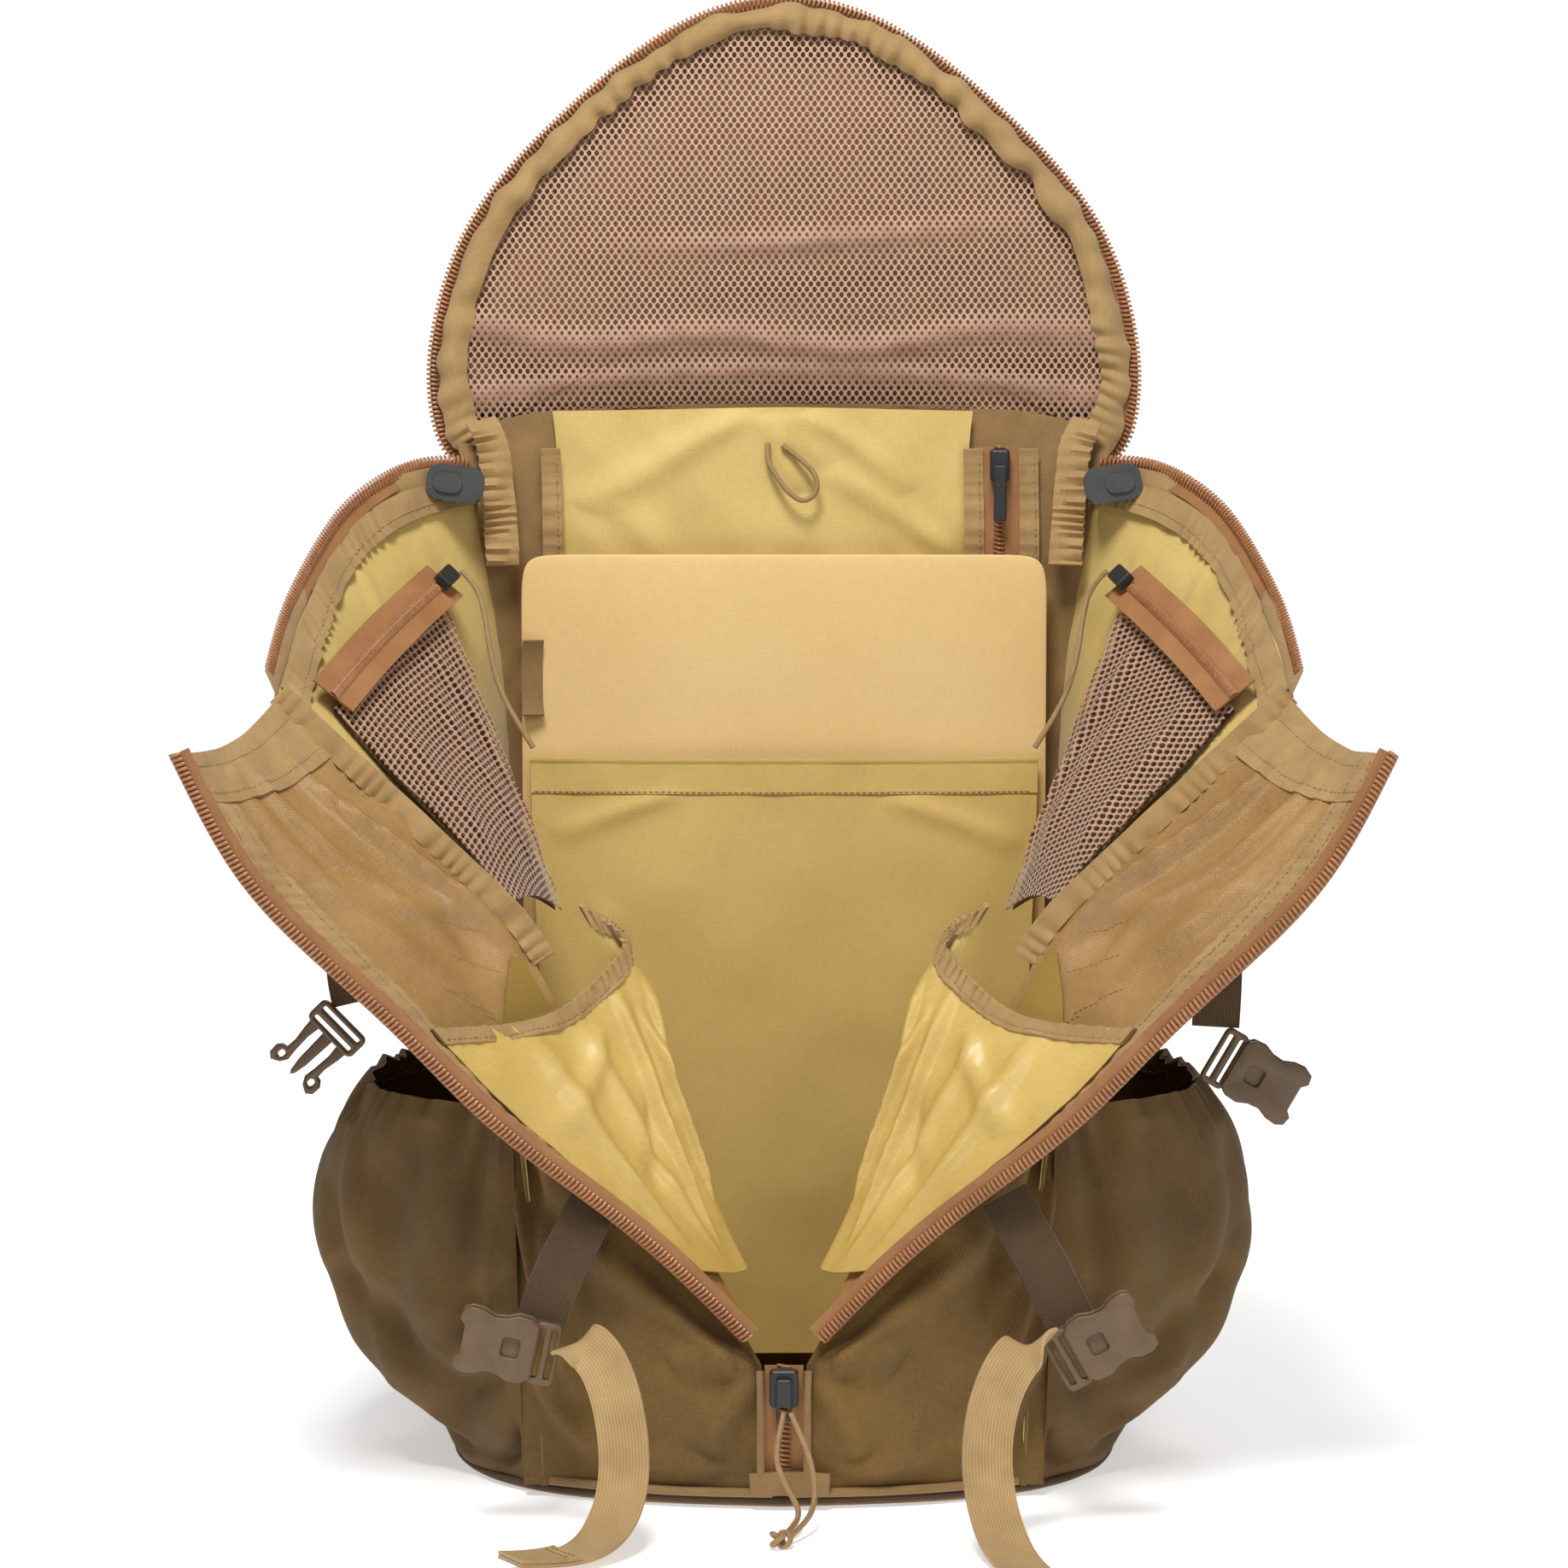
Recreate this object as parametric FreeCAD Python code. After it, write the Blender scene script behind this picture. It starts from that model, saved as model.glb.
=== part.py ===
import FreeCAD, Part
import math
import os

# Opened three-zip hunting backpack, in millimetres. +Z is up, the front faces -Y and the
# origin is the centre of the flat face that the pack stands on.

# Driving dimensions of the pack body
base_half_width = 172.0   # overall width: every outline widens with it
back_height = 545.0       # overall height: every outline grows with it
back_y = 124.0            # front face of the back panel
base_front_y = -135.0
base_thickness = 6.0
seam_y = -112.0           # seam between side wall and front panel, at the base
seam_half_width = 124.0
cloth = 2.4               # thickness of each padded or lined cloth wall

# Outline points are written for a pack 172 half wide and 545 high, and stretch with the pack
wide = base_half_width / 172.0
tall = back_height / 545.0
back_half_width = 152.0 * wide

# Driving dimensions of the opening
vertex_z = 84.0           # where the front zip starts to open
fold_half_width = 152.0   # where the flap's fold line meets the seam
fold_z = 318.0
corner_half_width = 297.0 # free corner of each flap
corner_y = -205.0
corner_z = 399.0
rim_back_z = 524.0        # top edge of the side wall, at the back
rim_front_z = 420.0       # and at the seam
rim_half_width = 262.0

# Lid, pockets, straps and hardware
lid_hinge_y = 127.0
lid_hinge_z = back_height + 2
lid_half_width = 198.0 * wide
lid_height = 244.0
lid_lean = 0.10           # lean backwards, as a slope
lid_dome = 26.0
pocket_half_width = 254.0
pocket_mouth_z = 206.0
webbing_width = 25.0
webbing_thickness = 2.0
chain_width = 9.0
chain_thickness = 2.6
cord_radius = 1.5

SIDES = (("left", -1.0), ("right", 1.0))


def vec(x, y, z):
    return FreeCAD.Vector(x, y, z)


def spot(x, y, z):
    """A point of an outline, stretched with the pack's width and height."""
    return vec(x * wide, y, z * tall)


def mirrored(points, side):
    """Outline points written for the side at +X, stretched and moved to the side asked for."""
    return [spot(side * p[0], p[1], p[2]) for p in points]


def carried(shape, x, z):
    """A rigid piece drawn in its place, moved with the stretched outline point that it sits at."""
    shape.translate(spot(x, 0, z) - vec(x, 0, z))
    return shape


def smooth_edge(points):
    if len(points) == 2:
        return Part.LineSegment(points[0], points[1]).toShape()
    curve = Part.BSplineCurve()
    curve.interpolate(points)
    return curve.toShape()


def closed_solid(shape):
    """The solid of a lofted shape, with its faces turned outwards."""
    solid = shape.Solids[0] if shape.Solids else Part.Solid(shape.Shells[0])
    if solid.Volume < 0:
        solid.reverse()
    return solid


def direction(before, after):
    step = after - before
    step.normalize()
    return step


def sheet_through(rows):
    surface = Part.BSplineSurface()
    surface.interpolate(rows)
    return surface


def panel(rows, thickness, flip=False):
    """A curved cloth panel: a smooth sheet through rows of points, given a thickness along its normal."""
    count = len(rows)
    width = len(rows[0])
    turn = -1.0 if flip else 1.0
    outer_rows = []
    for i in range(count):
        outer_row = []
        for j in range(width):
            along = direction(rows[i][max(j - 1, 0)], rows[i][min(j + 1, width - 1)])
            up = direction(rows[max(i - 1, 0)][j], rows[min(i + 1, count - 1)][j])
            normal = along.cross(up)
            normal.normalize()
            outer_row.append(rows[i][j] + normal * (turn * thickness))
        outer_rows.append(outer_row)
    inner = sheet_through(rows)
    outer = sheet_through(outer_rows)
    faces = [inner.toShape(), outer.toShape()]
    for end in (0, 1):
        faces.append(Part.makeRuledSurface(inner.uIso(inner.bounds()[end]).toShape(),
                                           outer.uIso(outer.bounds()[end]).toShape()))
        faces.append(Part.makeRuledSurface(inner.vIso(inner.bounds()[end + 2]).toShape(),
                                           outer.vIso(outer.bounds()[end + 2]).toShape()))
    shell = Part.Shell(faces)
    shell.sewShape()
    solid = Part.Solid(shell)
    if solid.Volume < 0:
        solid.reverse()
    return solid


def ribbon(points, across, width, thickness):
    """A flat strap: a rectangle of width x thickness lofted through points; across is its width's direction."""
    count = len(points)
    ways = across if isinstance(across, list) else [across] * count
    wires = []
    for i in range(count):
        along = direction(points[max(i - 1, 0)], points[min(i + 1, count - 1)])
        wide = ways[i] - along * ways[i].dot(along)
        wide.normalize()
        thick = along.cross(wide) * (thickness / 2)
        wide = wide * (width / 2)
        corners = [points[i] - wide - thick, points[i] + wide - thick,
                   points[i] + wide + thick, points[i] - wide + thick]
        wires.append(Part.makePolygon(corners + corners[:1]))
    return closed_solid(Part.makeLoft(wires, True, False))


def cord_tube(name, route, radius):
    """A round cord through a route: straight runs joined by arcs as large as the runs allow."""
    cuts = []
    radii = []
    for i in range(1, len(route) - 1):
        before = direction(route[i - 1], route[i])
        after = direction(route[i], route[i + 1])
        half_turn = before.getAngle(after) / 2
        run = min(route[i].distanceToPoint(route[i - 1]), route[i].distanceToPoint(route[i + 1]))
        reach = 0.45 * run
        bend = reach / math.tan(half_turn)
        radii.append(round(bend, 1))
        start = route[i] - before * reach
        end = route[i] + after * reach
        inward = after - before
        inward.normalize()
        middle = route[i] + inward * (bend / math.cos(half_turn) - bend)
        cuts.append((start, middle, end))
    edges = []
    here = route[0]
    for start, middle, end in cuts:
        edges.append(Part.LineSegment(here, start).toShape())
        edges.append(Part.Arc(start, middle, end).toShape())
        here = end
    edges.append(Part.LineSegment(here, route[-1]).toShape())
    path = Part.Wire(edges)
    ring = Part.Wire(Part.makeCircle(radius, route[0], direction(route[0], route[1])))
    tube = closed_solid(path.makePipeShell([ring], True, True))
    expected = math.pi * radius ** 2 * path.Length
    print(name, "length", round(path.Length, 1), "radii", radii, "volume ratio", round(tube.Volume / expected, 3))
    return tube


def box(x, y, z):
    """A box between two values on each axis."""
    return Part.makeBox(x[1] - x[0], y[1] - y[0], z[1] - z[0], vec(x[0], y[0], z[0]))


def rounded(shape, radius, way=None):
    """Round the edges that run along one axis, or all of them."""
    edges = []
    for edge in shape.Edges:
        if way is None or abs(edge.tangentAt(edge.FirstParameter).dot(way)) > 0.99:
            edges.append(edge)
    return shape.makeFillet(radius, edges)


def place(shape, centre, turn_axis=None, degrees=0.0):
    """Turn a shape made round the origin, then move it to its centre, an outline point."""
    moved = shape.copy()
    if turn_axis is not None:
        moved.rotate(vec(0, 0, 0), turn_axis, degrees)
    moved.translate(spot(centre.x, centre.y, centre.z))
    return moved


def blend_points(start, end, share):
    return start + (end - start) * share


# Base: a flat board, curved at the front like the pack above it
def base_panel():
    rear = back_y + 14
    outline = [
        Part.LineSegment(vec(-back_half_width, rear, 0), vec(back_half_width, rear, 0)).toShape(),
        smooth_edge([vec(back_half_width, rear, 0), vec(base_half_width + 4, 60, 0),
                     vec(base_half_width, -45, 0), spot(seam_half_width + 2, -107, 0),
                     spot(60, -128, 0), vec(0, base_front_y, 0), spot(-60, -128, 0),
                     spot(-seam_half_width - 2, -107, 0), vec(-base_half_width, -45, 0),
                     vec(-base_half_width - 4, 60, 0), vec(-back_half_width, rear, 0)]),
    ]
    return Part.Face(Part.Wire(outline)).extrude(vec(0, 0, base_thickness))


# Back: lined panel, stiff sheet, two stays, and the pads against the wearer
def back_panel():
    board = box((-back_half_width, back_half_width), (back_y, back_y + 6), (base_thickness, back_height))
    top = [e for e in board.Edges if abs(e.tangentAt(0).y) > 0.99 and e.CenterOfMass.z > back_height - 1]
    return board.makeFillet(34, top)


def frame_sheet():
    half = back_half_width - 16
    sheet = box((-half, half), (back_y + 6, back_y + 7.6), (20, back_height - 26))
    return rounded(sheet, 24, vec(0, 1, 0))


def frame_stays():
    stays = []
    for side in (-1, 1):
        stays.append(box((side * 62 - 6, side * 62 + 6), (back_y + 7.6, back_y + 10.8), (40, back_height - 46)))
    return Part.Compound(stays)


def back_pad():
    half = back_half_width - 24
    pad = box((-half, half), (back_y + 10.8, back_y + 27), (200 * tall, 500 * tall))
    return rounded(rounded(pad, 40, vec(0, 1, 0)), 5)


def lumbar_pad():
    half = back_half_width - 32
    pad = box((-half, half), (back_y + 10.8, back_y + 38), (52 * tall, 168 * tall))
    return rounded(rounded(pad, 36, vec(0, 1, 0)), 7)


# Side wall: stands straight at the base and leans outwards towards its top front corner
def side_wall(side):
    front = [(seam_half_width, seam_y, 6.2), (127, -112, 90), (134, -111, 180), (146, -109, 262),
             (177, -106, 336), (rim_half_width, -98, rim_front_z)]
    back = [(150, 122, 6.2), (151, 122, 120), (151.5, 122, 230), (153, 121.5, 330),
            (159, 118, 430), (175, 109, rim_back_z)]
    mid_front = [(140, -60, 6.2), (146, -60, 100), (151, -60, 190), (158, -58, 280), (190, -53, 358),
                 (256, -40, 455)]
    middle = [(150, 2, 6.2), (156, 2, 105), (160, 2, 205), (166, 5, 300), (192, 10, 392), (244, 20, 489)]
    mid_back = [(153, 66, 6.2), (158, 66, 112), (161, 66, 220), (165, 66, 318), (178, 65, 414), (216, 64, 515)]
    columns = [mirrored(c, side) for c in (front, mid_front, middle, mid_back, back)]
    rows = [[column[i] for column in columns] for i in range(len(front))]
    return panel(rows, cloth, flip=side < 0)


def side_zip_chain(side):
    """Zip chain along the side wall's top edge, from the lid slider to the flap."""
    rim = mirrored([(178, 106, 530), (199, 92, 529.5), (219, 63, 522), (238, 34, 506), (251, -2, 484),
                    (260, -40, 461.5), (264, -70, 443), (265.5, -93, 429)], side)
    across = vec(side * 0.45, 0, 0.9)
    return ribbon(rim, across, chain_width, chain_thickness)


# Front: lower panels below the fold line, and the closed part of the centre zip between them
def fold_point(share):
    """A point on the right fold line: 0 at the open end of the centre zip, 1 at the seam."""
    return blend_points(vec(12, -133, vertex_z), vec(fold_half_width, -107, fold_z), share)


def front_panel(side):
    columns = []
    for share, foot, bulge in ((0.0, vec(11, -134, 6.8), 3.0), (0.22, vec(48, -129, 6.8), 13.0),
                               (0.55, vec(90, -120, 6.8), 16.0), (0.86, vec(seam_half_width - 5, -112, 6.8), 4.0)):
        head = fold_point(share) + vec(0, 1, -9)
        column = []
        for k in range(5):
            rise = k / 4
            point = blend_points(foot, head, rise)
            column.append(point + vec(0, -bulge * math.sin(math.pi * rise), 0))
        columns.append(mirrored(column, side))
    rows = [[column[k] for column in columns] for k in range(5)]
    return panel(rows, cloth, flip=side < 0)


def front_zip_chain():
    return ribbon([spot(0, -133, 9), spot(0, -137, 35), spot(0, -138, 60), spot(0, -137.5, 76)], vec(1, 0, 0), 16,
                  chain_thickness)


def base_tab():
    return ribbon([spot(-17, -141.5, 14), spot(3, -142, 15), spot(23, -141.5, 14)], vec(0, 0, 1), 12, 3)


# Flap: the upper part of each front half, folded outwards along the fold line
def flap_inner_edge():
    edge = [fold_point(s) for s in (0.04, 0.22, 0.40, 0.60, 0.80, 1.0)]
    return edge + [vec(197, -111, 361), vec(rim_half_width - 2, -107, rim_front_z - 1)]


def flap_outer_edge():
    return [vec(17, -145, 93), vec(52, -155, 131), vec(92, -168, 168), vec(144, -182, 212),
            vec(190, -193, 261), vec(238, -201, 308), vec(271, -205, 349), vec(corner_half_width, corner_y, corner_z)]


def front_flap(side):
    inner = flap_inner_edge()
    outer = flap_outer_edge()
    rows = []
    for i in range(len(inner)):
        row = []
        for k in range(4):
            share = k / 3
            sag = 9.0 * math.sin(math.pi * share) * min(i, 4) / 4
            row.append(blend_points(inner[i], outer[i], share) + vec(0, 0, -sag))
        rows.append(mirrored(row, side))
    return panel(rows, cloth, flip=side > 0)


def flap_zip_chain(side):
    edge = [p + vec(1.5, -3.5, 1) for p in flap_outer_edge()]
    return ribbon(mirrored(edge, side), vec(-side * 0.3, -0.35, 0.9), chain_width, chain_thickness)


def slip_pocket(side):
    """Pocket bag inside the flap: a bound mouth that gapes, narrowing down to the start of the zip."""
    mouth = [(156, -163, 256), (126, -137, 257), (98, -106, 272), (84, -92, 292), (106, -88, 309)]
    middle = [(120, -155, 216), (95, -130, 216), (73, -104, 222), (61, -90, 231), (75, -86, 247)]
    lower = [(80, -145, 171), (64, -128, 169), (50, -109, 168), (42, -97, 169), (50, -93, 180)]
    foot = [(33, -134, 124), (28, -127, 122), (24, -119, 121), (20, -113, 121), (22, -108, 125)]
    rows = []
    for points in (foot, lower, middle, mouth):
        followed = []
        for (x, y, z), share in zip(points, (0.4, 0.6, 0.8, 1.0, 1.0)):
            followed.append((x, y, z + (fold_z - 318) * share * (z - 84) / 234))
        rows.append(mirrored(followed, side))
    return panel(rows, 1.6, flip=side > 0)


# Lid: domed cloth shell, standing up behind the opening, with its zip round the rim
def lid_point(share, scale=1.0, forward=0.0):
    """A point on the lid's outline, from the left hinge corner (0) over the apex (0.5) to the right one (1)."""
    left = [(-0.889, -0.074), (-0.965, -0.020), (-1.0, 0.107), (-0.980, 0.275), (-0.864, 0.512), (-0.606, 0.746),
            (-0.374, 0.898), (-0.182, 0.975)]
    shares = left + [(0, 1)] + [(-x, z) for x, z in left[::-1]]
    outline = [(x * lid_half_width, z * lid_height) for x, z in shares]
    curve = Part.BSplineCurve()
    curve.interpolate([vec(x, 0, z) for x, z in outline])
    point = curve.value(curve.FirstParameter + share * (curve.LastParameter - curve.FirstParameter))
    centre_z = 0.393 * lid_height
    x = point.x * scale
    z = centre_z + (point.z - centre_z) * scale
    return vec(x, lid_hinge_y + lid_lean * max(z, 0) - forward, lid_hinge_z + z)


def lid_wire(scale, forward, lowest):
    """The lid's outline as a closed wire, cut off straight a little above the hinge."""
    points = []
    for k in range(49):
        point = lid_point(k / 48, scale, forward)
        if point.z > lid_hinge_z + lowest:
            points.append(point)
    return Part.Wire([smooth_edge(points[::2]), Part.LineSegment(points[::2][-1], points[0]).toShape()])


def lid_shell():
    wires = [lid_wire(0.97, -4, 3), lid_wire(0.955, -14, 4), lid_wire(0.82, -lid_dome, 16)]
    return closed_solid(Part.makeLoft(wires, True, True))


def lid_zip_chain():
    points = [lid_point(k / 24, 1.0, -3) for k in range(25)]
    return ribbon(points, vec(0, 1, 0), chain_width, chain_thickness)


def lid_binding():
    rows = []
    for k in range(25):
        share = 0.035 + 0.93 * k / 24
        inner = lid_point(share, 0.92, 5)
        outer = lid_point(share, 0.975, 5)
        rows.append([inner, blend_points(inner, outer, 0.5) + vec(0, -2, 0), outer])
    return panel(rows, 3.0)


def lid_mesh_pocket():
    wires = [lid_wire(0.90, -3, 12), lid_wire(0.90, 2, 12), lid_wire(0.80, 11, 26)]
    return closed_solid(Part.makeLoft(wires, True, True))


# Interior against the back: sleeve, board, top pocket panel with its zip, and the hanging loop
def hydration_sleeve():
    rows = []
    for z, half, y in ((34, 120, 70), (130, 128, 66), (250, 137, 72), (330, 141, 80), (368, 142, 84)):
        rows.append([spot(-half, y + 8, z), spot(-half * 0.5, y + 1, z), spot(0, y, z),
                     spot(half * 0.5, y + 1, z), spot(half, y + 8, z)])
    return panel(rows, cloth)


def sleeve_board():
    board = box((-147 * wide, 147 * wide), (97, 102.5), (150 * tall, 482 * tall))
    return rounded(rounded(board, 14, vec(0, 1, 0)), 2)


def top_pocket_panel():
    rows = []
    for z in (430, 468, 506, 543):
        rows.append([spot(-128, 122, z), spot(-60, 118, z), spot(0, 117, z), spot(60, 118, z),
                     spot(104, 121, z)])
    return panel(rows, 1.6)


def back_zip_chain():
    return ribbon([spot(121, 117, 420), spot(121, 116.5, 480), spot(121, 116.5, 541)], vec(1, 0, 0), 12,
                  chain_thickness)


def back_zip_slider():
    body = rounded(box((115.5, 126.5), (108.5, 114.6), (522, 540)), 2)
    tab = rounded(box((117.5, 124.5), (105, 108), (500, 531)), 1)
    slider = body.fuse(tab.fuse(box((119.5, 122.5), (107, 109.5), (524, 530))))
    return carried(slider, 121, 531)


# Mesh pockets on the inside of the side walls, each under a slanting zip with a cord pull
def mesh_pocket(side):
    top = [(188, 55, 462), (203, 14, 447), (219, -34, 430), (233, -84, 412)]
    upper = [(166, 44, 412), (176, 8, 402), (188, -38, 392), (204, -88, 381)]
    lower = [(143, 30, 352), (146, 2, 352), (152, -40, 350), (168, -92, 345)]
    foot = [(120, 20, 292), (124, 0, 298), (132, -42, 308), (141, -93, 312)]
    rows = [mirrored(r, side) for r in (foot, lower, upper, top)]
    return panel(rows, 1.6, flip=side > 0)


def mesh_zip_points(side):
    return mirrored([(187, 62, 469), (202, 16, 455), (219, -34, 437), (234, -86, 418)], side)


def inner_zip_chains():
    chains = [back_zip_chain()]
    for _, side in SIDES:
        chains.append(ribbon(mesh_zip_points(side), vec(side * 0.75, 0.1, 0.66), 12, chain_thickness))
    return Part.Compound(chains)


zip_way = vec(0.288, -0.907, -0.307)   # direction of the right mesh pocket's zip, downwards and forwards


def mesh_slider_centre(side):
    centre = vec(187, 62, 469) + zip_way * 9 + vec(-0.66, 0, 0.75) * 7.2
    return vec(side * centre.x, centre.y, centre.z)


def mesh_pocket_slider(side):
    body = rounded(box((-5, 5), (-8, 8), (-3, 3)), 1.5)
    body.rotate(vec(0, 0, 0), vec(0, 1, 0), side * -41)
    body.rotate(vec(0, 0, 0), vec(0, 0, 1), side * 17.6)
    body.rotate(vec(0, 0, 0), vec(1, 0, 0), 18)
    return place(body, mesh_slider_centre(side))


def mesh_pull_route(side):
    """Both strands of the loop hang together from the slider, down the inside of the mesh."""
    centre = mesh_slider_centre(side)
    start = spot(centre.x, centre.y, centre.z) + vec(-side * 8, 0, 3)
    steps = [(0, 0, 0), (-9, -12, -7), (-14, -22, -22), (-17, -29, -42), (-22, -34, -61), (-31, -38, -78),
             (-41, -42, -93)]
    return [start + vec(side * x, y, z) for x, y, z in steps]


# Lid sliders at the ends of the lid's zip, with their moulded pull tabs
def lid_sliders():
    parts = []
    for _, side in SIDES:
        body = rounded(box((-6, 6), (-5, 5), (-8, 8)), 2)
        parts.append(place(body, vec(side * 175, 88.5, 519)))
    return Part.Compound(parts)


def pull_tab(side):
    plate = rounded(box((-24, 8), (-2.5, 2.5), (-10, 10)), 8, vec(0, 1, 0))
    plate = plate.fuse(rounded(box((-20, -4), (-4, 0), (-5.5, 5.5)), 5, vec(0, 1, 0)))
    if side > 0:
        plate = plate.mirror(vec(0, 0, 0), vec(1, 0, 0))
    return place(plate, vec(side * 174, 79, 521), vec(0, 1, 0), side * -8)


# Centre slider with its bail, and the knotted pull cord
slider_y = -145.5


def centre_slider():
    body = rounded(box((-7.5, 7.5), (slider_y - 3, slider_y + 4), (56, 76)), 2.5)
    bail = rounded(box((-4, 4), (slider_y - 7.5, slider_y - 2), (50, 72)), 1.5)
    hole = box((-2, 2), (slider_y - 9, slider_y + 1), (53, 58))
    return carried(body.fuse(bail).cut(hole), 0, 66)


def centre_pull_routes():
    start = vec(0, slider_y - 8, 55) + spot(0, 0, 66) - vec(0, 0, 66)
    left = [(0, 0, 0), (-3, -5, -12), (-4, -11, -24), (2, -19, -35), (8, -28, -43), (6, -39, -48), (-1, -50, -51)]
    right = [(3.4, 0, 0), (9, -6, -11), (14, -12, -23), (16, -20, -34), (15, -29, -42.4), (10, -40, -47.4),
             (3.5, -51, -50.4)]
    routes = []
    for steps in (left, right):
        routes.append([start + vec(x, y, z) for x, y, z in steps])
    return routes


def centre_pull_cord():
    left, right = centre_pull_routes()
    return Part.Compound([cord_tube("pull_left", left, cord_radius), cord_tube("pull_right", right, cord_radius)])


def centre_pull_knot():
    knot = Part.makeSphere(1.0)
    stretch = FreeCAD.Matrix()
    stretch.scale(5.5, 7.0, 4.4)
    knot = knot.transformGeometry(stretch)
    knot.translate(vec(-2, slider_y - 64.5, 4.5))
    return carried(knot, 0, 66)


def hydration_loop_route():
    lift = back_height - 545
    return [vec(x, y, z + lift) for x, y, z in ((-9, 113, 543), (-10, 111, 535), (-5, 108.6, 526), (2, 107.2, 516),
                                                (11, 106.8, 510), (19, 107, 516), (18, 108, 526), (9, 110, 535),
                                                (-1, 111.5, 542))]


# Bottle pockets: stretch cloth, wide in the middle and drawn in at the mouth
def bottle_pocket(side):
    rows = []
    for z, bulge, tuck in ((6.2, 172, 1.0), (24, 190, 1.02), (52, 226, 1.04), (90, 246, 1.05),
                           (126, pocket_half_width, 1.05), (170, 247, 1.04), (pocket_mouth_z, 224, 1.0)):
        seam_x = 134 + 5 * z / pocket_mouth_z
        back_x = 161
        out = bulge - back_x
        row = [vec(seam_x + 2, -109 * tuck, z), vec(seam_x + 0.42 * out, -98 * tuck, z), vec(back_x + 0.78 * out, -62, z),
               vec(bulge, -8, z), vec(back_x + 0.90 * out, 52, z), vec(back_x + 0.48 * out, 96, z),
               vec(back_x + 1, 118, z)]
        rows.append(mirrored([(p.x, p.y, p.z) for p in row], side))
    return panel(rows, cloth, flip=side > 0)


# Compression straps: each hangs from a front panel, turns round its buckle's bar and ends in a loose tail
def lower_strap(side):
    if side < 0:
        route = [spot(-97, -156, 165), spot(-106, -163, 147), spot(-116, -169, 127), spot(-123, -173, 108)]
    else:
        route = [spot(112, -155, 168), spot(126, -163, 144), spot(138, -169, 122), spot(145, -172.4, 107)]
    return ribbon(route, vec(0.9, 0.1 * side, 0.42 * side), webbing_width, webbing_thickness)


def strap_tail(side):
    if side < 0:
        route = [spot(-109, -188, 97), spot(-100, -195, 100), spot(-90, -201, 90), spot(-83, -207, 70),
                 spot(-80, -213, 46), spot(-83, -221, 24), spot(-94, -233, 9), spot(-112, -248, 5),
                 spot(-134, -262, 8)]
        ways = [vec(-0.9, 0.1, -0.42), vec(-0.93, 0.1, -0.3), vec(-0.97, 0.1, -0.1), vec(-1, 0.1, 0), vec(-1, 0.1, 0),
                vec(-1, 0.2, 0), vec(-0.85, 0.5, 0), vec(-0.75, 0.65, 0), vec(-0.7, 0.7, 0)]
    else:
        route = [spot(131, -188, 99), spot(121, -195, 98), spot(110, -201, 84), spot(103, -207, 62),
                 spot(102, -214, 38), spot(106, -225, 17), spot(112, -241, 6), spot(118, -262, 3.5),
                 spot(123, -284, 2.6)]
        ways = [vec(0.9, 0.1, 0.42), vec(0.93, 0.1, 0.3), vec(0.97, 0.1, 0.1), vec(1, 0.1, 0), vec(1, 0.1, 0),
                vec(1, 0.1, 0), vec(1, 0.1, 0), vec(1, 0.15, 0), vec(1, 0.2, 0)]
    return ribbon(route, ways, webbing_width, webbing_thickness)


def female_buckle():
    """Side-release housing, long axis along X, made round its web bar at the origin."""
    shell = rounded(box((4, 44), (-5.5, 5.5), (-17, 17)), 4, vec(0, 1, 0))
    shell = shell.cut(box((26, 46), (-3.2, 3.2), (-12.5, 12.5)))
    for top in (-1, 1):
        shell = shell.cut(box((24, 36), (-8, 8), (top * 15 - 3, top * 15 + 3)))
    frame = rounded(box((-7, 5), (-3.2, 3.2), (-16, 16)), 3, vec(0, 1, 0))
    frame = frame.cut(box((-4, 4), (-8, 8), (-13, 13)))
    bar = Part.makeCylinder(1.6, 28, vec(0, 0, -14), vec(0, 0, 1))
    return shell.fuse(frame).fuse(bar)


def male_buckle():
    """Side-release insert with two sprung prongs and a centre guide, made round its web bar at the origin."""
    frame = rounded(box((-7, 8), (-3.2, 3.2), (-16, 16)), 3, vec(0, 1, 0))
    frame = frame.cut(box((-4, 4), (-8, 8), (-13, 13)))
    bar = Part.makeCylinder(1.6, 28, vec(0, 0, -14), vec(0, 0, 1))
    parts = frame.fuse(bar).fuse(box((7, 34), (-1.5, 1.5), (-2, 2)))
    for top in (-1, 1):
        prong = box((7, 30), (-2.4, 2.4), (min(top * 8, top * 12), max(top * 8, top * 12)))
        barb = rounded(box((26, 40), (-2.4, 2.4), (min(top * 7, top * 16), max(top * 7, top * 16))), 3, vec(0, 1, 0))
        parts = parts.fuse(prong).fuse(barb)
    return parts


def lower_buckle(side):
    buckle = female_buckle()
    if side < 0:
        buckle = buckle.mirror(vec(0, 0, 0), vec(1, 0, 0))
        return place(buckle, vec(-121, -182, 93), vec(0, 1, 0), 12)
    return place(buckle, vec(143, -182, 90), vec(0, 1, 0), -30)


def upper_strap(side):
    """Webbing that hangs from the outside of the side wall, behind the flap."""
    hang = mirrored([(218, -57, 372), (222, -59, 345), (226, -61, 305), (229, -62, 275)], side)
    if side < 0:
        route = hang + [spot(-226, -62.5, 254)]
        ways = [vec(0.98, -0.15, -0.2)] * 3 + [vec(0.95, -0.1, -0.3), vec(0.87, 0, -0.45)]
    else:
        route = hang + [spot(228, -63, 241)]
        ways = [vec(0.98, -0.15, 0.2)] * 3 + [vec(0.97, -0.1, 0.2), vec(0.95, 0, 0.25)]
    return ribbon(route, ways, webbing_width, webbing_thickness)


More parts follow.
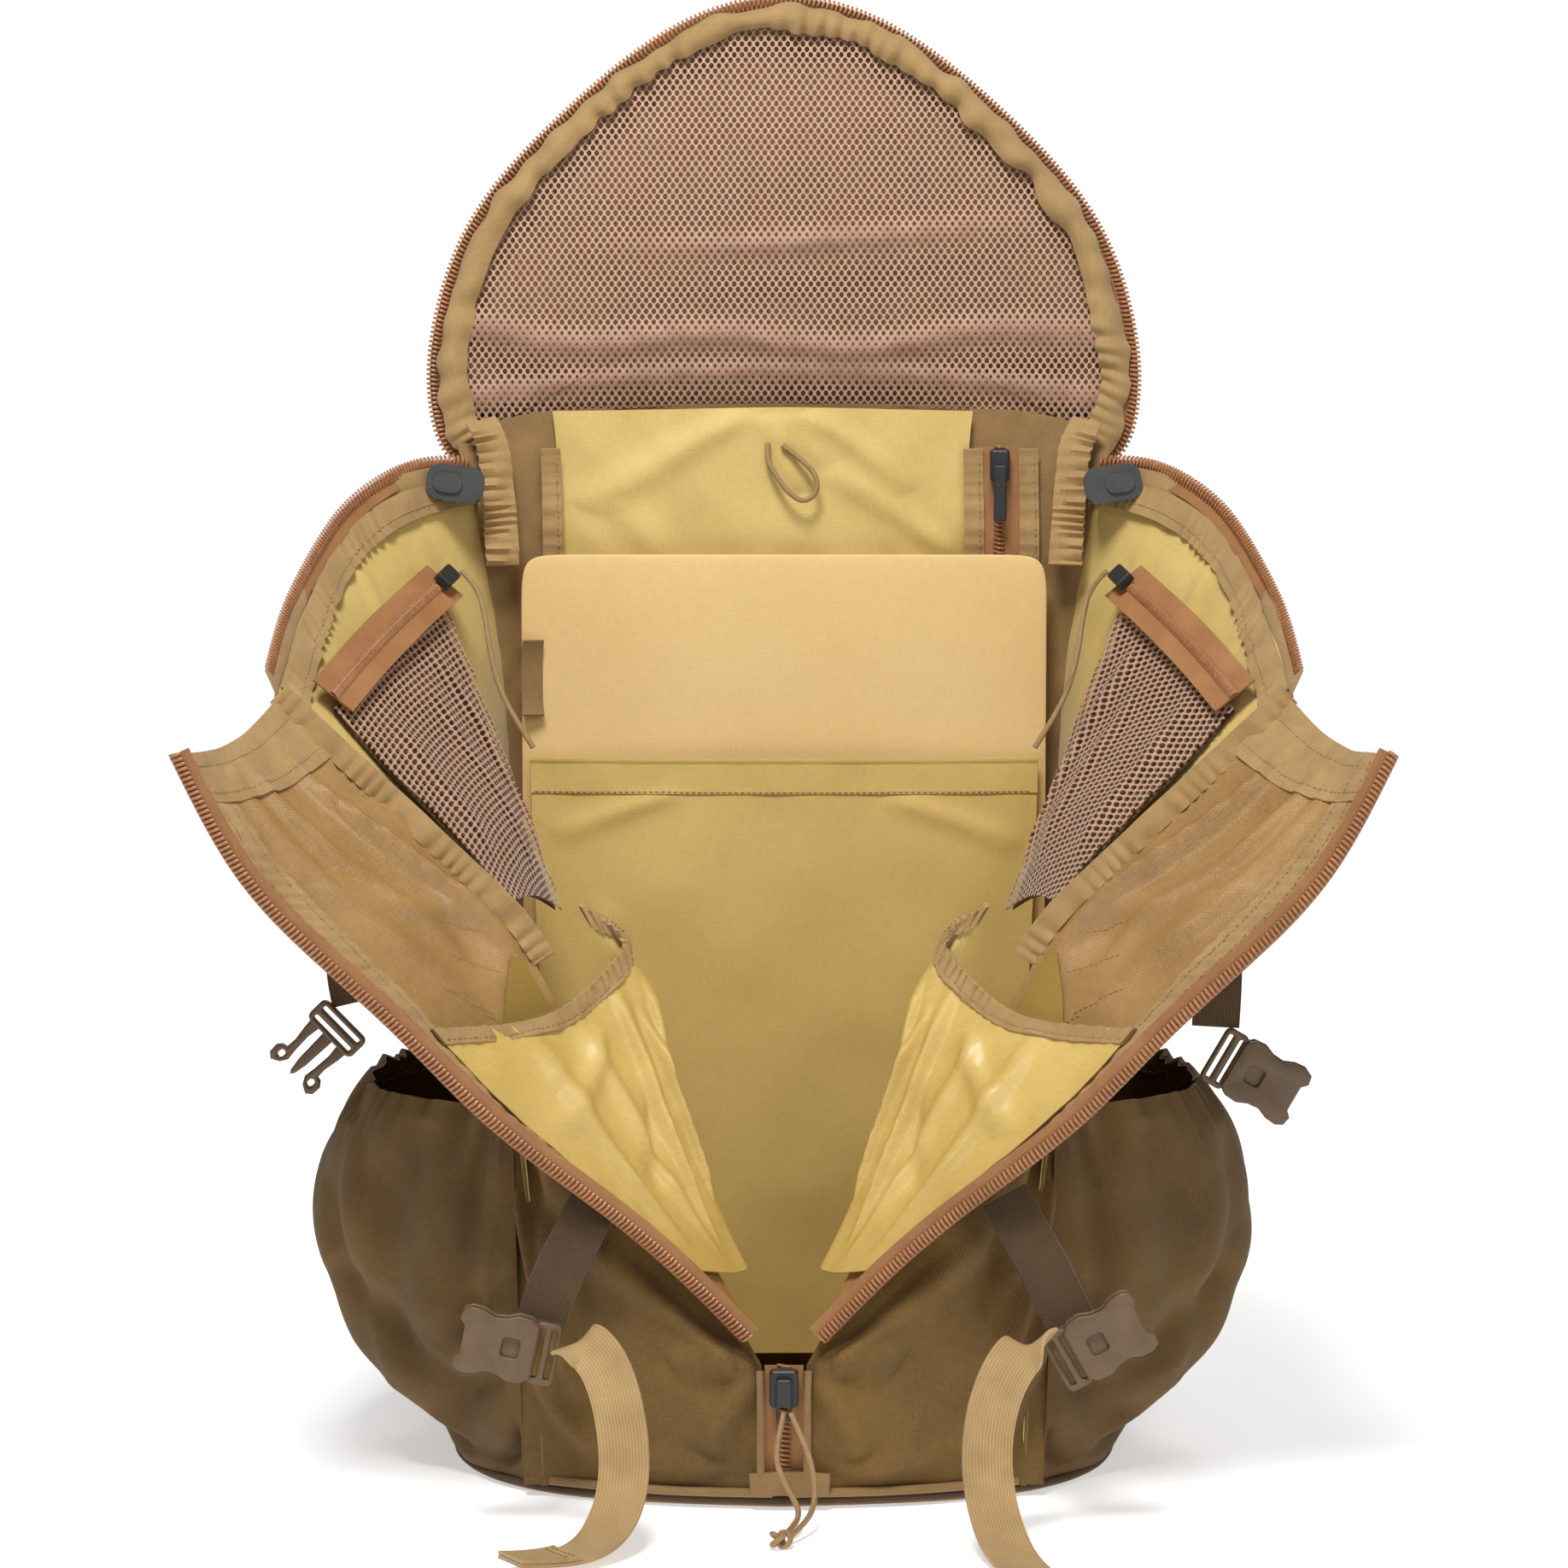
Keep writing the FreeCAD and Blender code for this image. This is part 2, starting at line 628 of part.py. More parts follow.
def upper_buckle(side):
    if side < 0:
        return place(male_buckle().mirror(vec(0, 0, 0), vec(1, 0, 0)), vec(-236, -64, 240), vec(0, 1, 0), -44)
    return place(female_buckle(), vec(233, -64, 224), vec(0, 1, 0), 30)


# Carrying gear on the back
def grab_handle():
    route = [spot(-52, 134, 518), spot(-46, 142, 520), spot(-34, 152, 524), spot(0, 160, 526), spot(34, 152, 524),
             spot(46, 142, 520), spot(52, 134, 518)]
    return ribbon(route, vec(0, 0, 1), 22, 3)


def shoulder_strap(side):
    pad = ribbon(mirrored([(52, 163, 488), (58, 184, 502), (66, 212, 486), (76, 228, 440), (88, 228, 380),
                           (98, 216, 310), (106, 198, 250), (111, 186, 212)], side),
                 vec(1, 0.05, 0), 62, 13)
    chest = ribbon(mirrored([(64, 236.5, 402), (44, 240, 396), (22, 241, 388)], side), vec(0, 0, 1), 20, 2)
    return Part.Compound([pad, chest])


def shoulder_webbings():
    strips = []
    for _, side in SIDES:
        strips.append(ribbon(mirrored([(113, 174, 200), (122, 158, 178), (134, 147, 150), (151, 141, 100),
                                       (169, 138, 62), (177, 136, 42)], side),
                             vec(side, 0, 0.35), webbing_width, webbing_thickness))
    return Part.Compound(strips)


def base_ladder_locks():
    locks = []
    for _, side in SIDES:
        body = rounded(box((-15, 12), (-4, 4), (-13, 13)), 3, vec(0, 1, 0))
        body.translate(vec(side * 180, 129, 24))
        locks.append(carried(body, side * 180, 42))
    return Part.Compound(locks)


def hip_wing(side):
    return ribbon(mirrored([(124, 158, 108), (152, 170, 106), (176, 200, 102), (184, 244, 97), (172, 290, 93),
                            (148, 320, 91)], side), vec(0, 0, 1), 92, 14)


def hip_buckle(side):
    web = ribbon(mirrored([(142, 325, 91), (120, 340, 88), (92, 350, 84), (64, 354, 80)], side), vec(0, 0, 1), 38,
                 webbing_thickness)
    core = rounded(box((-30, 30), (-6, 6), (-24, 24)), 8, vec(0, 1, 0))
    return Part.Compound([web, place(core, vec(side * 33, 354, 78))])


parts = {
    "base_panel": base_panel(),
    "back_panel": back_panel(),
    "frame_sheet": frame_sheet(),
    "frame_stays": frame_stays(),
    "back_pad": back_pad(),
    "lumbar_pad": lumbar_pad(),
    "side_zip_chains": Part.Compound([side_zip_chain(side) for _, side in SIDES]),
    "front_zip_chain": front_zip_chain(),
    "base_tab": base_tab(),
    "lid_shell": lid_shell(),
    "lid_zip_chain": lid_zip_chain(),
    "lid_binding": lid_binding(),
    "lid_mesh_pocket": lid_mesh_pocket(),
    "hydration_sleeve": hydration_sleeve(),
    "sleeve_board": sleeve_board(),
    "top_pocket_panel": top_pocket_panel(),
    "back_zip_slider": back_zip_slider(),
    "inner_zip_chains": inner_zip_chains(),
    "lid_sliders": lid_sliders(),
    "centre_slider": centre_slider(),
    "centre_pull_cord": centre_pull_cord(),
    "centre_pull_knot": centre_pull_knot(),
    "hydration_loop": cord_tube("hydration_loop", hydration_loop_route(), cord_radius),
    "grab_handle": grab_handle(),
    "shoulder_webbings": shoulder_webbings(),
    "base_ladder_locks": base_ladder_locks(),
}
for side_name, side in SIDES:
    parts[side_name + "_side_wall"] = side_wall(side)
    parts[side_name + "_front_panel"] = front_panel(side)
    parts[side_name + "_front_flap"] = front_flap(side)
    parts[side_name + "_flap_zip_chain"] = flap_zip_chain(side)
    parts[side_name + "_slip_pocket"] = slip_pocket(side)
    parts[side_name + "_mesh_pocket"] = mesh_pocket(side)
    parts[side_name + "_mesh_slider"] = mesh_pocket_slider(side)
    parts[side_name + "_mesh_pull_cord"] = cord_tube(side_name + "_mesh_pull", mesh_pull_route(side), cord_radius)
    parts[side_name + "_pull_tab"] = pull_tab(side)
    parts[side_name + "_bottle_pocket"] = bottle_pocket(side)
    parts[side_name + "_lower_strap"] = Part.Compound([lower_strap(side), strap_tail(side)])
    parts[side_name + "_lower_buckle"] = lower_buckle(side)
    parts[side_name + "_upper_strap"] = upper_strap(side)
    parts[side_name + "_upper_buckle"] = upper_buckle(side)
    parts[side_name + "_shoulder_strap"] = shoulder_strap(side)
    parts[side_name + "_hip_wing"] = hip_wing(side)
    parts[side_name + "_hip_buckle"] = hip_buckle(side)

os.makedirs("parts", exist_ok=True)
for name, shape in parts.items():
    if not shape.isValid():
        print("invalid", name)
    shape.exportStep("parts/" + name + ".step")
print(len(parts), "parts")
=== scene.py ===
import math

import bmesh
import bpy
import numpy as np
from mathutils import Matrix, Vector


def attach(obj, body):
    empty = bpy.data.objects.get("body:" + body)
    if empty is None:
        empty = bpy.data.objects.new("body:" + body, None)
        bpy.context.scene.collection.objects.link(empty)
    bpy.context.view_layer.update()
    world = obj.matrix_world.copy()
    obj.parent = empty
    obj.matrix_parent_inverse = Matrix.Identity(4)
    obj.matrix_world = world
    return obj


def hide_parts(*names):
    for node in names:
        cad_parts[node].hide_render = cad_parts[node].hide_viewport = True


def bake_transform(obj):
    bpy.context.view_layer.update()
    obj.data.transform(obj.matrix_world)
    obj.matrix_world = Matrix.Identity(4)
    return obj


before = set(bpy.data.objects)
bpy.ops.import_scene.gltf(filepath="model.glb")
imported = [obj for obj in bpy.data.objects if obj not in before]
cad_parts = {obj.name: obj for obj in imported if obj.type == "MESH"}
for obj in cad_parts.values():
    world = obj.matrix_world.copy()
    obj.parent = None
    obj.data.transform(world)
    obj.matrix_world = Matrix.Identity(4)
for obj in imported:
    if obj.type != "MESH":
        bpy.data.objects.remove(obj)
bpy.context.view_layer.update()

# View and light: a long lens a little above the middle of the open pack, a large soft light
# high in front of it, a fill from low in front, and a pale seamless floor.
camera_data = bpy.data.cameras.new("camera")
camera = bpy.data.objects.new("camera", camera_data)
bpy.context.scene.collection.objects.link(camera)
bpy.context.scene.camera = camera
camera_target = Vector((0.0, 0.0, 0.363))
camera_distance = 2.4
camera_rise = math.radians(6.0)
view_width = 0.846
camera_data.sensor_width = 36.0
camera_data.lens = 36.0 * camera_distance / view_width
camera_way = Vector((0.0, -math.cos(camera_rise), math.sin(camera_rise)))
camera.location = camera_target + camera_distance * camera_way
camera.rotation_euler = (camera_target - camera.location).to_track_quat("-Z", "Y").to_euler()
bpy.context.scene.view_settings.view_transform = "Standard"


def soft_light(name, place, aim, size, watts):
    """A square area light at a place, turned to face a point."""
    light = bpy.data.lights.new(name, "AREA")
    light.size = size
    light.energy = watts
    lamp = bpy.data.objects.new(name, light)
    lamp.location = place
    lamp.rotation_euler = (Vector(aim) - Vector(place)).to_track_quat("-Z", "Y").to_euler()
    bpy.context.scene.collection.objects.link(lamp)


soft_light("key_light", (-0.25, -1.25, 2.45), (0.0, 0.0, 0.35), 0.7, 57.0)
soft_light("front_light", (0.9, -2.2, 1.5), (0.0, 0.0, 0.55), 0.8, 8.0)
soft_light("back_light", (0.4, 2.2, 1.8), (0.0, 0.1, 0.3), 1.2, 22.0)
world = bpy.data.worlds.new("studio")
bpy.context.scene.world = world
world.use_nodes = True
world.node_tree.nodes["Background"].inputs["Color"].default_value = (1.0, 1.0, 1.0, 1.0)
seen = world.node_tree.nodes.new("ShaderNodeLightPath")
brightness = world.node_tree.nodes.new("ShaderNodeMapRange")
brightness.inputs["To Min"].default_value = 0.23
brightness.inputs["To Max"].default_value = 1.0
world.node_tree.links.new(seen.outputs["Is Camera Ray"], brightness.inputs["Value"])
world.node_tree.links.new(brightness.outputs["Result"],
                          world.node_tree.nodes["Background"].inputs["Strength"])
floor_half = 1.7
floor_mesh = bpy.data.meshes.new("floor")
floor_mesh.from_pydata([(-floor_half, -floor_half, 0.0), (floor_half, -floor_half, 0.0),
                        (floor_half, floor_half, 0.0), (-floor_half, floor_half, 0.0)], [], [(0, 1, 2, 3)])
floor_paper = bpy.data.materials.new("floor_paper")
floor_paper.use_nodes = True
for socket, value in (("Base Color", (0.93, 0.93, 0.93, 1.0)), ("Roughness", 0.9),
                      ("Emission Color", (1.0, 1.0, 1.0, 1.0)), ("Emission Strength", 0.45)):
    floor_paper.node_tree.nodes["Principled BSDF"].inputs[socket].default_value = value
floor_mesh.materials.append(floor_paper)
floor = bpy.data.objects.new("floor", floor_mesh)
bpy.context.scene.collection.objects.link(floor)


# Pull cords: 3 mm braided polyester. A pair through the centre slider ends in a knot near the
# floor, one hangs from each mesh pocket's slider, and one is the loop for a drinking tube.
class Shade:
    """One output of a material's nodes. Arithmetic on it adds the Math nodes that work it out."""

    def __init__(self, tree, socket=None):
        self.tree = tree
        self.socket = socket

    def add(self, kind, settings, inputs, output=0):
        """A new node: its settings first, then the values or links of its inputs."""
        node = self.tree.nodes.new("ShaderNode" + kind)
        for key, value in settings.items():
            if key == "stops":
                while len(node.color_ramp.elements) < len(value):
                    node.color_ramp.elements.new(0.5)
                for element, (place, colour) in zip(node.color_ramp.elements, value):
                    element.position = place
                    element.color = (*colour, 1.0)
            else:
                setattr(node, key, value)
        for key, value in inputs.items():
            if isinstance(value, Shade):
                self.tree.links.new(value.socket, node.inputs[key])
            else:
                node.inputs[key].default_value = value
        return Shade(self.tree, node.outputs[output] if node.outputs else None)

    def math(self, operation, *others):
        """One Math node on this value and any others after it."""
        return self.add("Math", {"operation": operation}, dict(enumerate((self, *others))))

    def __add__(self, other):
        return self.math("ADD", other)

    __radd__ = __add__

    def __mul__(self, other):
        return self.math("MULTIPLY", other)

    __rmul__ = __mul__

    def __sub__(self, other):
        return self.math("SUBTRACT", other)

    def __rsub__(self, other):
        return self.add("Math", {"operation": "SUBTRACT"}, {0: other, 1: self})

    def __pow__(self, other):
        return self.math("POWER", other)

    def clamped(self):
        """The value held between 0 and 1."""
        return self.add("Clamp", {}, {0: self})

    def blended(self, first, second):
        """The colour between two colours, with this value as the share of the second."""
        ends = {6: first if isinstance(first, Shade) else (*first, 1.0),
                7: second if isinstance(second, Shade) else (*second, 1.0)}
        return self.add("Mix", {"data_type": "RGBA"}, {0: self, **ends}, 2)

    def clouds(self, where, size, detail=2.0, stretch=(1.0, 1.0, 1.0)):
        """Smooth noise from 0 to 1 with swells of one size, in metres, stretched along the axes."""
        scaled = self.add("Mapping", {}, {"Vector": where, "Scale": tuple(s / size for s in stretch)})
        return self.add("TexNoise", {}, {"Vector": scaled, "Scale": 1.0, "Detail": detail})

    def place(self):
        """Object coordinates, in metres."""
        return self.add("TexCoord", {}, {}, 3)

    def across_cloth(self):
        """The piece's own UV, which is in metres along and across the cloth, as two values."""
        uv = self.add("UVMap", {"uv_map": "cloth"}, {})
        return uv, self.add("SeparateXYZ", {}, {0: uv}, 0), self.add("SeparateXYZ", {}, {0: uv}, 1)


def new_finish(name):
    """An empty material and the Shade that its nodes grow from."""
    material = bpy.data.materials.new(name)
    material.use_nodes = True
    material.node_tree.nodes.clear()
    return material, Shade(material.node_tree)


def end_finish(start, colour, roughness, height=None, depth=0.0005, strength=1.0, **others):
    """The principled shader and the output; height, in shares of depth, feeds its bump."""
    inputs = {"Base Color": colour if isinstance(colour, Shade) else (*colour, 1.0), "Roughness": roughness}
    if height is not None:
        inputs["Normal"] = start.add("Bump", {}, {"Strength": strength, "Distance": depth, "Height": height})
    inputs.update({key.replace("_", " "): value for key, value in others.items()})
    shader = start.add("BsdfPrincipled", {}, inputs)
    start.add("OutputMaterial", {}, {"Surface": shader})


def braid_finish(name, dark, light, pitch):
    """Two sets of strands that wind round the cord both ways: crossed diagonal waves in its UV. Its colour
    follows the strands' height, as painted shade in the grooves, mixed with worn tone from noise.
    """
    material, start = new_finish(name)
    _, u, v = start.across_cloth()
    turn = 2 * math.pi / pitch
    one_way = ((u + v) * turn).math("SINE")
    other_way = ((u - v) * turn).math("SINE")
    height = (one_way * other_way) * 0.5 + 0.5
    worn = start.clouds(start.place(), 0.004)
    # Colour: the braid's height as painted shade in its grooves, plus worn tone from noise.
    end_finish(start, (height * 0.6 + worn * 0.4).blended(dark, light), 0.75, height, 0.0004, 0.7)
    return material


def spline_weights(count, where):
    """A natural cubic spline as a table: each place along the knots 0 to count - 1 as a mix of the
    knots, whose second derivatives solve the spline's three-term equations."""
    knots = np.eye(count)
    system = np.eye(count)
    right = np.zeros((count, count))
    inner = np.arange(1, count - 1)
    system[inner, inner] = 4.0
    system[inner, inner - 1] = 1.0
    system[inner, inner + 1] = 1.0
    right[inner] = 6.0 * (knots[inner - 1] - 2.0 * knots[inner] + knots[inner + 1])
    bend = np.linalg.solve(system, right)
    cell = np.clip(where.astype(int), 0, count - 2)
    t = (where - cell)[:, None]
    s = 1.0 - t
    curved = (s ** 3 - s) * bend[cell] + (t ** 3 - t) * bend[cell + 1]
    return s * knots[cell] + t * knots[cell + 1] + curved / 6.0


def evenly(line, step):
    """Points at equal steps along a line of close points, by its length along the way."""
    lengths = np.append(0.0, np.cumsum(np.linalg.norm(np.diff(line, axis=0), axis=1)))
    places = np.linspace(0.0, lengths[-1], max(int(round(lengths[-1] / step)), 2) + 1)
    return np.stack([np.interp(places, lengths, line[:, k]) for k in range(3)], axis=1)


def smooth_line(points, step):
    """A smooth line in metres through points in millimetres, at equal steps."""
    points = np.array(points, float) * 0.001
    dense = spline_weights(len(points), np.linspace(0, len(points) - 1, 40 * len(points))) @ points
    return evenly(dense, step)


def unit(vectors):
    """Each vector over its own length."""
    return vectors / np.maximum(np.linalg.norm(vectors, axis=-1, keepdims=True), 1e-12)


def frames(line, across):
    """Along, across and outward directions at each point; across is made square to the line."""
    along = unit(np.gradient(line, axis=0))
    across = np.broadcast_to(np.array(across, float), line.shape)
    wide = unit(across - along * (across * along).sum(-1, keepdims=True))
    return along, wide, np.cross(along, wide)


def grid_faces(rows, columns, wrap=False, first=0):
    """The quads of a grid of points, row by row; wrap joins its last column to its first."""
    ways = columns if wrap else columns - 1
    i, j = np.meshgrid(np.arange(rows - 1), np.arange(ways), indexing="ij")
    after = (j + 1) % columns
    quads = np.stack([i * columns + j, i * columns + after,
                      (i + 1) * columns + after, (i + 1) * columns + j], -1)
    return quads.reshape(-1, 4) + first


def new_piece(name, points, faces, finish, uvs=None):
    """A mesh object from arrays: points, lists of faces, and a UV for each point. Coinciding points
    are merged, and its faces are turned outwards."""
    mesh = bpy.data.meshes.new(name)
    face_list = [list(face) for group in faces
                 for face in (group.tolist() if isinstance(group, np.ndarray) else group)]
    mesh.from_pydata(points.reshape(-1, 3).tolist(), [], face_list)
    corner = np.empty(len(mesh.loops), int)
    mesh.loops.foreach_get("vertex_index", corner)
    flat = points.reshape(-1, 3)[:, :2] if uvs is None else uvs.reshape(-1, 2)
    mesh.uv_layers.new(name="cloth").data.foreach_set("uv", flat[corner].astype(np.float32).ravel())
    work = bmesh.new()
    work.from_mesh(mesh)
    bmesh.ops.remove_doubles(work, verts=work.verts, dist=2e-6)
    bmesh.ops.recalc_face_normals(work, faces=work.faces)
    work.to_mesh(mesh)
    work.free()
    mesh.shade_smooth()
    mesh.set_sharp_from_angle(angle=math.radians(55))
    mesh.materials.append(finish)
    piece = bpy.data.objects.new(name, mesh)
    bpy.context.scene.collection.objects.link(piece)
    return piece


def circles(wide, out, sides):
    """The angles of a few points round a circle, and at each point of a line cos(angle) wide plus
    sin(angle) out, as rows of points at a distance of one."""
    angle = 2 * math.pi * np.arange(sides) / sides
    return angle, np.cos(angle)[None, :, None] * wide[:, None] + np.sin(angle)[None, :, None] * out[:, None]


def tube(name, line, radius, finish, sides=10, across=(0.3, 0.2, 1.0)):
    """A round tube: a circle carried along the line, with a flat cap at each end."""
    _, wide, out = frames(line, across)
    angle, ring = circles(wide, out, sides)
    points = line[:, None] + ring * np.broadcast_to(np.asarray(radius, float), (len(line),))[:, None, None]
    length = np.append(0.0, np.cumsum(np.linalg.norm(np.diff(line, axis=0), axis=1)))
    around = np.broadcast_to(angle * np.max(radius), (len(line), sides))
    uvs = np.stack([around, np.broadcast_to(length[:, None], around.shape)], -1)
    caps = [[list(range(sides))], [list(range((len(line) - 1) * sides, len(line) * sides))]]
    return new_piece(name, points, [grid_faces(len(line), sides, True), *caps], finish, uvs)


def mesh_points(mesh):
    """A mesh's vertices as an array with one row for each."""
    flat = np.empty(3 * len(mesh.vertices))
    mesh.vertices.foreach_get("co", flat)
    return flat.reshape(-1, 3)


def cord_line(route):
    """The smooth line of a limp cord: an open NURBS spline with the route's points as its control points."""
    curve = bpy.data.curves.new("route", "CURVE")
    curve.dimensions = "3D"
    spline = curve.splines.new("NURBS")
    spline.points.add(len(route) - 1)
    spline.points.foreach_set("co", np.append(route, np.ones((len(route), 1)), axis=1).ravel())
    spline.order_u = 3
    spline.use_endpoint_u = True
    spline.resolution_u = 8
    holder = bpy.data.objects.new("route", curve)
    bpy.context.scene.collection.objects.link(holder)
    mesh = bpy.data.meshes.new_from_object(holder)
    bpy.data.objects.remove(holder)
    return mesh_points(mesh)


cord_radius = 0.0015
tan_cord = braid_finish("tan_braid", (0.20, 0.105, 0.035), (0.55, 0.36, 0.17), 0.0016)


def limp_cord(name, route):
    """A soft cord: a round tube along its route."""
    line = cord_line(route)
    piece = tube(name, line, cord_radius, tan_cord)
    return piece


def overhand_knot(name, centre, size, turns, finish):
    """A tied knot: the cord wound over a small egg, twice round as it goes three times through."""
    t = np.linspace(0, 2 * math.pi, 90, endpoint=False)
    swing = size[0] * 0.62 + size[0] * 0.38 * np.cos(turns * t)
    line = np.stack([swing * np.cos(2 * t), size[1] / size[0] * swing * np.sin(2 * t),
                     size[2] * 0.62 * np.sin(turns * t)], -1) + np.array(centre)
    along = unit(np.roll(line, -1, axis=0) - np.roll(line, 1, axis=0))
    inward = unit(np.array(centre) - line)
    wide = unit(inward - along * (inward * along).sum(-1, keepdims=True))
    sides = 8
    angle, ring = circles(wide, np.cross(along, wide), sides)
    drawn_radius = 0.0014
    points = line[:, None] + ring * drawn_radius
    points = np.append(points, points[:1], axis=0)
    length = np.linspace(0, 0.11, len(points))
    uvs = np.stack([np.broadcast_to(angle * drawn_radius, points.shape[:2]),
                    np.broadcast_to(length[:, None], points.shape[:2])], -1)
    return new_piece(name, points, [grid_faces(len(points), sides, True)], finish, uvs)


pull_knot = overhand_knot("pull_knot", (-0.002, -0.210, 0.0046), (0.0052, 0.0066, 0.0044), 3, tan_cord)
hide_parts("centre_pull_knot")
pull_start = np.array((0.0, -0.1535, 0.055))
pull_left = pull_start + 0.001 * np.array([(0, 0, 0), (-3, -5, -12), (-4, -11, -24), (2, -19, -35),
                                           (8, -28, -43), (6, -39, -48), (-1, -50, -51)])
pull_right = pull_start + 0.001 * np.array([(3.4, 0, 0), (9, -6, -11), (14, -12, -23), (16, -20, -34),
                                            (15, -29, -42.4), (10, -40, -47.4), (3.5, -51, -50.4)])
pull_cords = [limp_cord("pull_cord_left", pull_left),
              limp_cord("pull_cord_right", pull_right)]
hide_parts("centre_pull_cord")
for piece in (*pull_cords, pull_knot):
    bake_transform(piece)
loop_route = 0.001 * np.array([(-9, 113, 543), (-10, 111, 535), (-5, 108.6, 526), (2, 107.2, 516),
                               (11, 106.8, 510), (19, 107, 516), (18, 108, 526), (9, 110, 535),
                               (-1, 111.5, 542)])
hanging_loop = limp_cord("hanging_loop", loop_route)
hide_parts("hydration_loop")
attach(hanging_loop, "pack")
SIDES = (("left", -1.0), ("right", 1.0))
for side_name, side in SIDES:
    steps = [(0, 0, 0), (-9, -12, -7), (-14, -22, -22), (-17, -29, -42), (-22, -34, -61), (-31, -38, -78),
             (-41, -42, -93)]
    route = 0.001 * (np.array(steps) * (side, 1, 1) + (side * 176.84, 53.84, 474.64))
    pull = limp_cord(side_name + "_mesh_pull", route)
    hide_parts(side_name + "_mesh_pull_cord")
    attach(pull, side_name + "_mesh_slider")


# Base: the flat bottom of the pack, tan pack cloth over a stiff board, with a welted edge that
# the front panels, side walls and bottle pockets are sewn to.
def woven_finish(name, dark, light, pitch, rough=0.8, patch=0.03, worn=0.0, **others):
    """A plain weave in the cloth's own UV: warp and weft threads as half waves that pass over and
    under each other, slubs along the threads, and slow patches of lighter, more worn cloth. The colour also
    follows the weave's height, as painted shade in the gaps between the threads."""
    material, start = new_finish(name)
    uv, u, v = start.across_cloth()
    warp = (u * (math.pi / pitch)).math("SINE")
    weft = (v * (math.pi / pitch)).math("SINE")
    over = (warp * weft).math("GREATER_THAN", 0.0)
    height = warp.math("ABSOLUTE") * over + weft.math("ABSOLUTE") * (1.0 - over)
    slubs = (start.clouds(uv, 0.004, 2.0, (6.0, 0.5, 1.0)) * 0.5
             + start.clouds(uv, 0.004, 2.0, (0.5, 6.0, 1.0)) * 0.5)
    patches = start.clouds(start.place(), patch, 3.0)
    # Colour: slubs and patches are the cloth's own tone; the weave's height lightens the thread crowns and
    # darkens the gaps between them, as painted shade.
    share = slubs * 0.9 + patches * 0.7 + height * 0.22 - (0.40 - worn)
    roughness = patches * 0.18 + (rough - 0.09)
    relief = height * 0.6 + slubs * 0.4
    end_finish(start, share.clamped().blended(dark, light), roughness, relief, pitch * 0.5, 0.55, **others)
    return material


tan_cloth = woven_finish("tan_pack_cloth", (0.150, 0.078, 0.022), (0.36, 0.212, 0.075), 0.0009, 0.82,
                         Sheen_Weight=0.15, Sheen_Roughness=0.5)
binding_tape = woven_finish("binding_tape", (0.24, 0.132, 0.042), (0.54, 0.345, 0.135), 0.0008, 0.75, 0.02,
                            Sheen_Weight=0.2, Sheen_Roughness=0.4)
thread_tan = braid_finish("tan_thread", (0.34, 0.20, 0.085), (0.66, 0.47, 0.25), 0.0006)


def cloth_grid(rows, down, across):
    """A smooth sheet through rows of points in millimetres, as down x across points in metres."""
    rows = np.array(rows, float) * 0.001
    down_weights = spline_weights(len(rows), np.linspace(0, len(rows) - 1, down))
    across_weights = spline_weights(rows.shape[1], np.linspace(0, rows.shape[1] - 1, across))
    return np.einsum("ai,bj,ijk->abk", down_weights, across_weights, rows)


def grid_normals(grid):
    """Unit normals of a grid of points: its step across times its step down."""
    across = np.gradient(grid, axis=1)
    down = np.gradient(grid, axis=0)
    return unit(np.cross(across, down))


def cloth_uv(grid):
    """Distance along and down the sheet at each point, in metres, each measured from its own edge."""
    u = np.cumsum(np.linalg.norm(np.diff(grid, axis=1, prepend=grid[:, :1]), axis=-1), axis=1)
    v = np.cumsum(np.linalg.norm(np.diff(grid, axis=0, prepend=grid[:1]), axis=-1), axis=0)
    return np.stack([u, v], -1)


def shares(grid):
    """Each point's place down and across the sheet, from 0 to 1."""
    return np.meshgrid(np.linspace(0, 1, grid.shape[0]), np.linspace(0, 1, grid.shape[1]), indexing="ij")


def plane_waves(place, seed, size, count):
    """Sine waves of about one size, in seeded directions, lengths and phases, at each point."""
    random = np.random.default_rng(seed)
    ways = unit(random.normal(size=(count, place.shape[-1])))
    ways *= 2 * math.pi / size * random.uniform(0.6, 1.5, (count, 1))
    return np.sin(place @ ways.T + random.uniform(0, 2 * math.pi, count))


def ripple(place, seed, size, count=9):
    """Uneven swells of about one size: plane waves added up."""
    return plane_waves(place, seed, size, count).sum(-1) / math.sqrt(count)


def folded(place, seed, size, count=6):
    """Soft creases: the same waves bent to sharp valleys, one less the size of each swell."""
    waves = plane_waves(place, seed, size, count)
    return (0.6 - np.sqrt(waves ** 2 + 0.03)).sum(-1) / math.sqrt(count)


def creases(down, across, lines):
    """Folds along straight lines in the sheet's shares: each stands up by its height, falls off
    across its width as a bell curve, and fades out towards both of its ends."""
    total = np.zeros_like(down)
    for d0, a0, d1, a1, height, width in lines:
        step_d = d1 - d0
        step_a = a1 - a0
        length = math.hypot(step_d, step_a)
        along = ((down - d0) * step_d + (across - a0) * step_a) / length ** 2
        off = ((down - d0) * step_a - (across - a0) * step_d) / length
        fade = np.clip(1.0 - (2.0 * along - 1.0) ** 4, 0.0, 1.0)
        total += height * fade * np.exp(-(off / width) ** 2)
    return total * 0.001


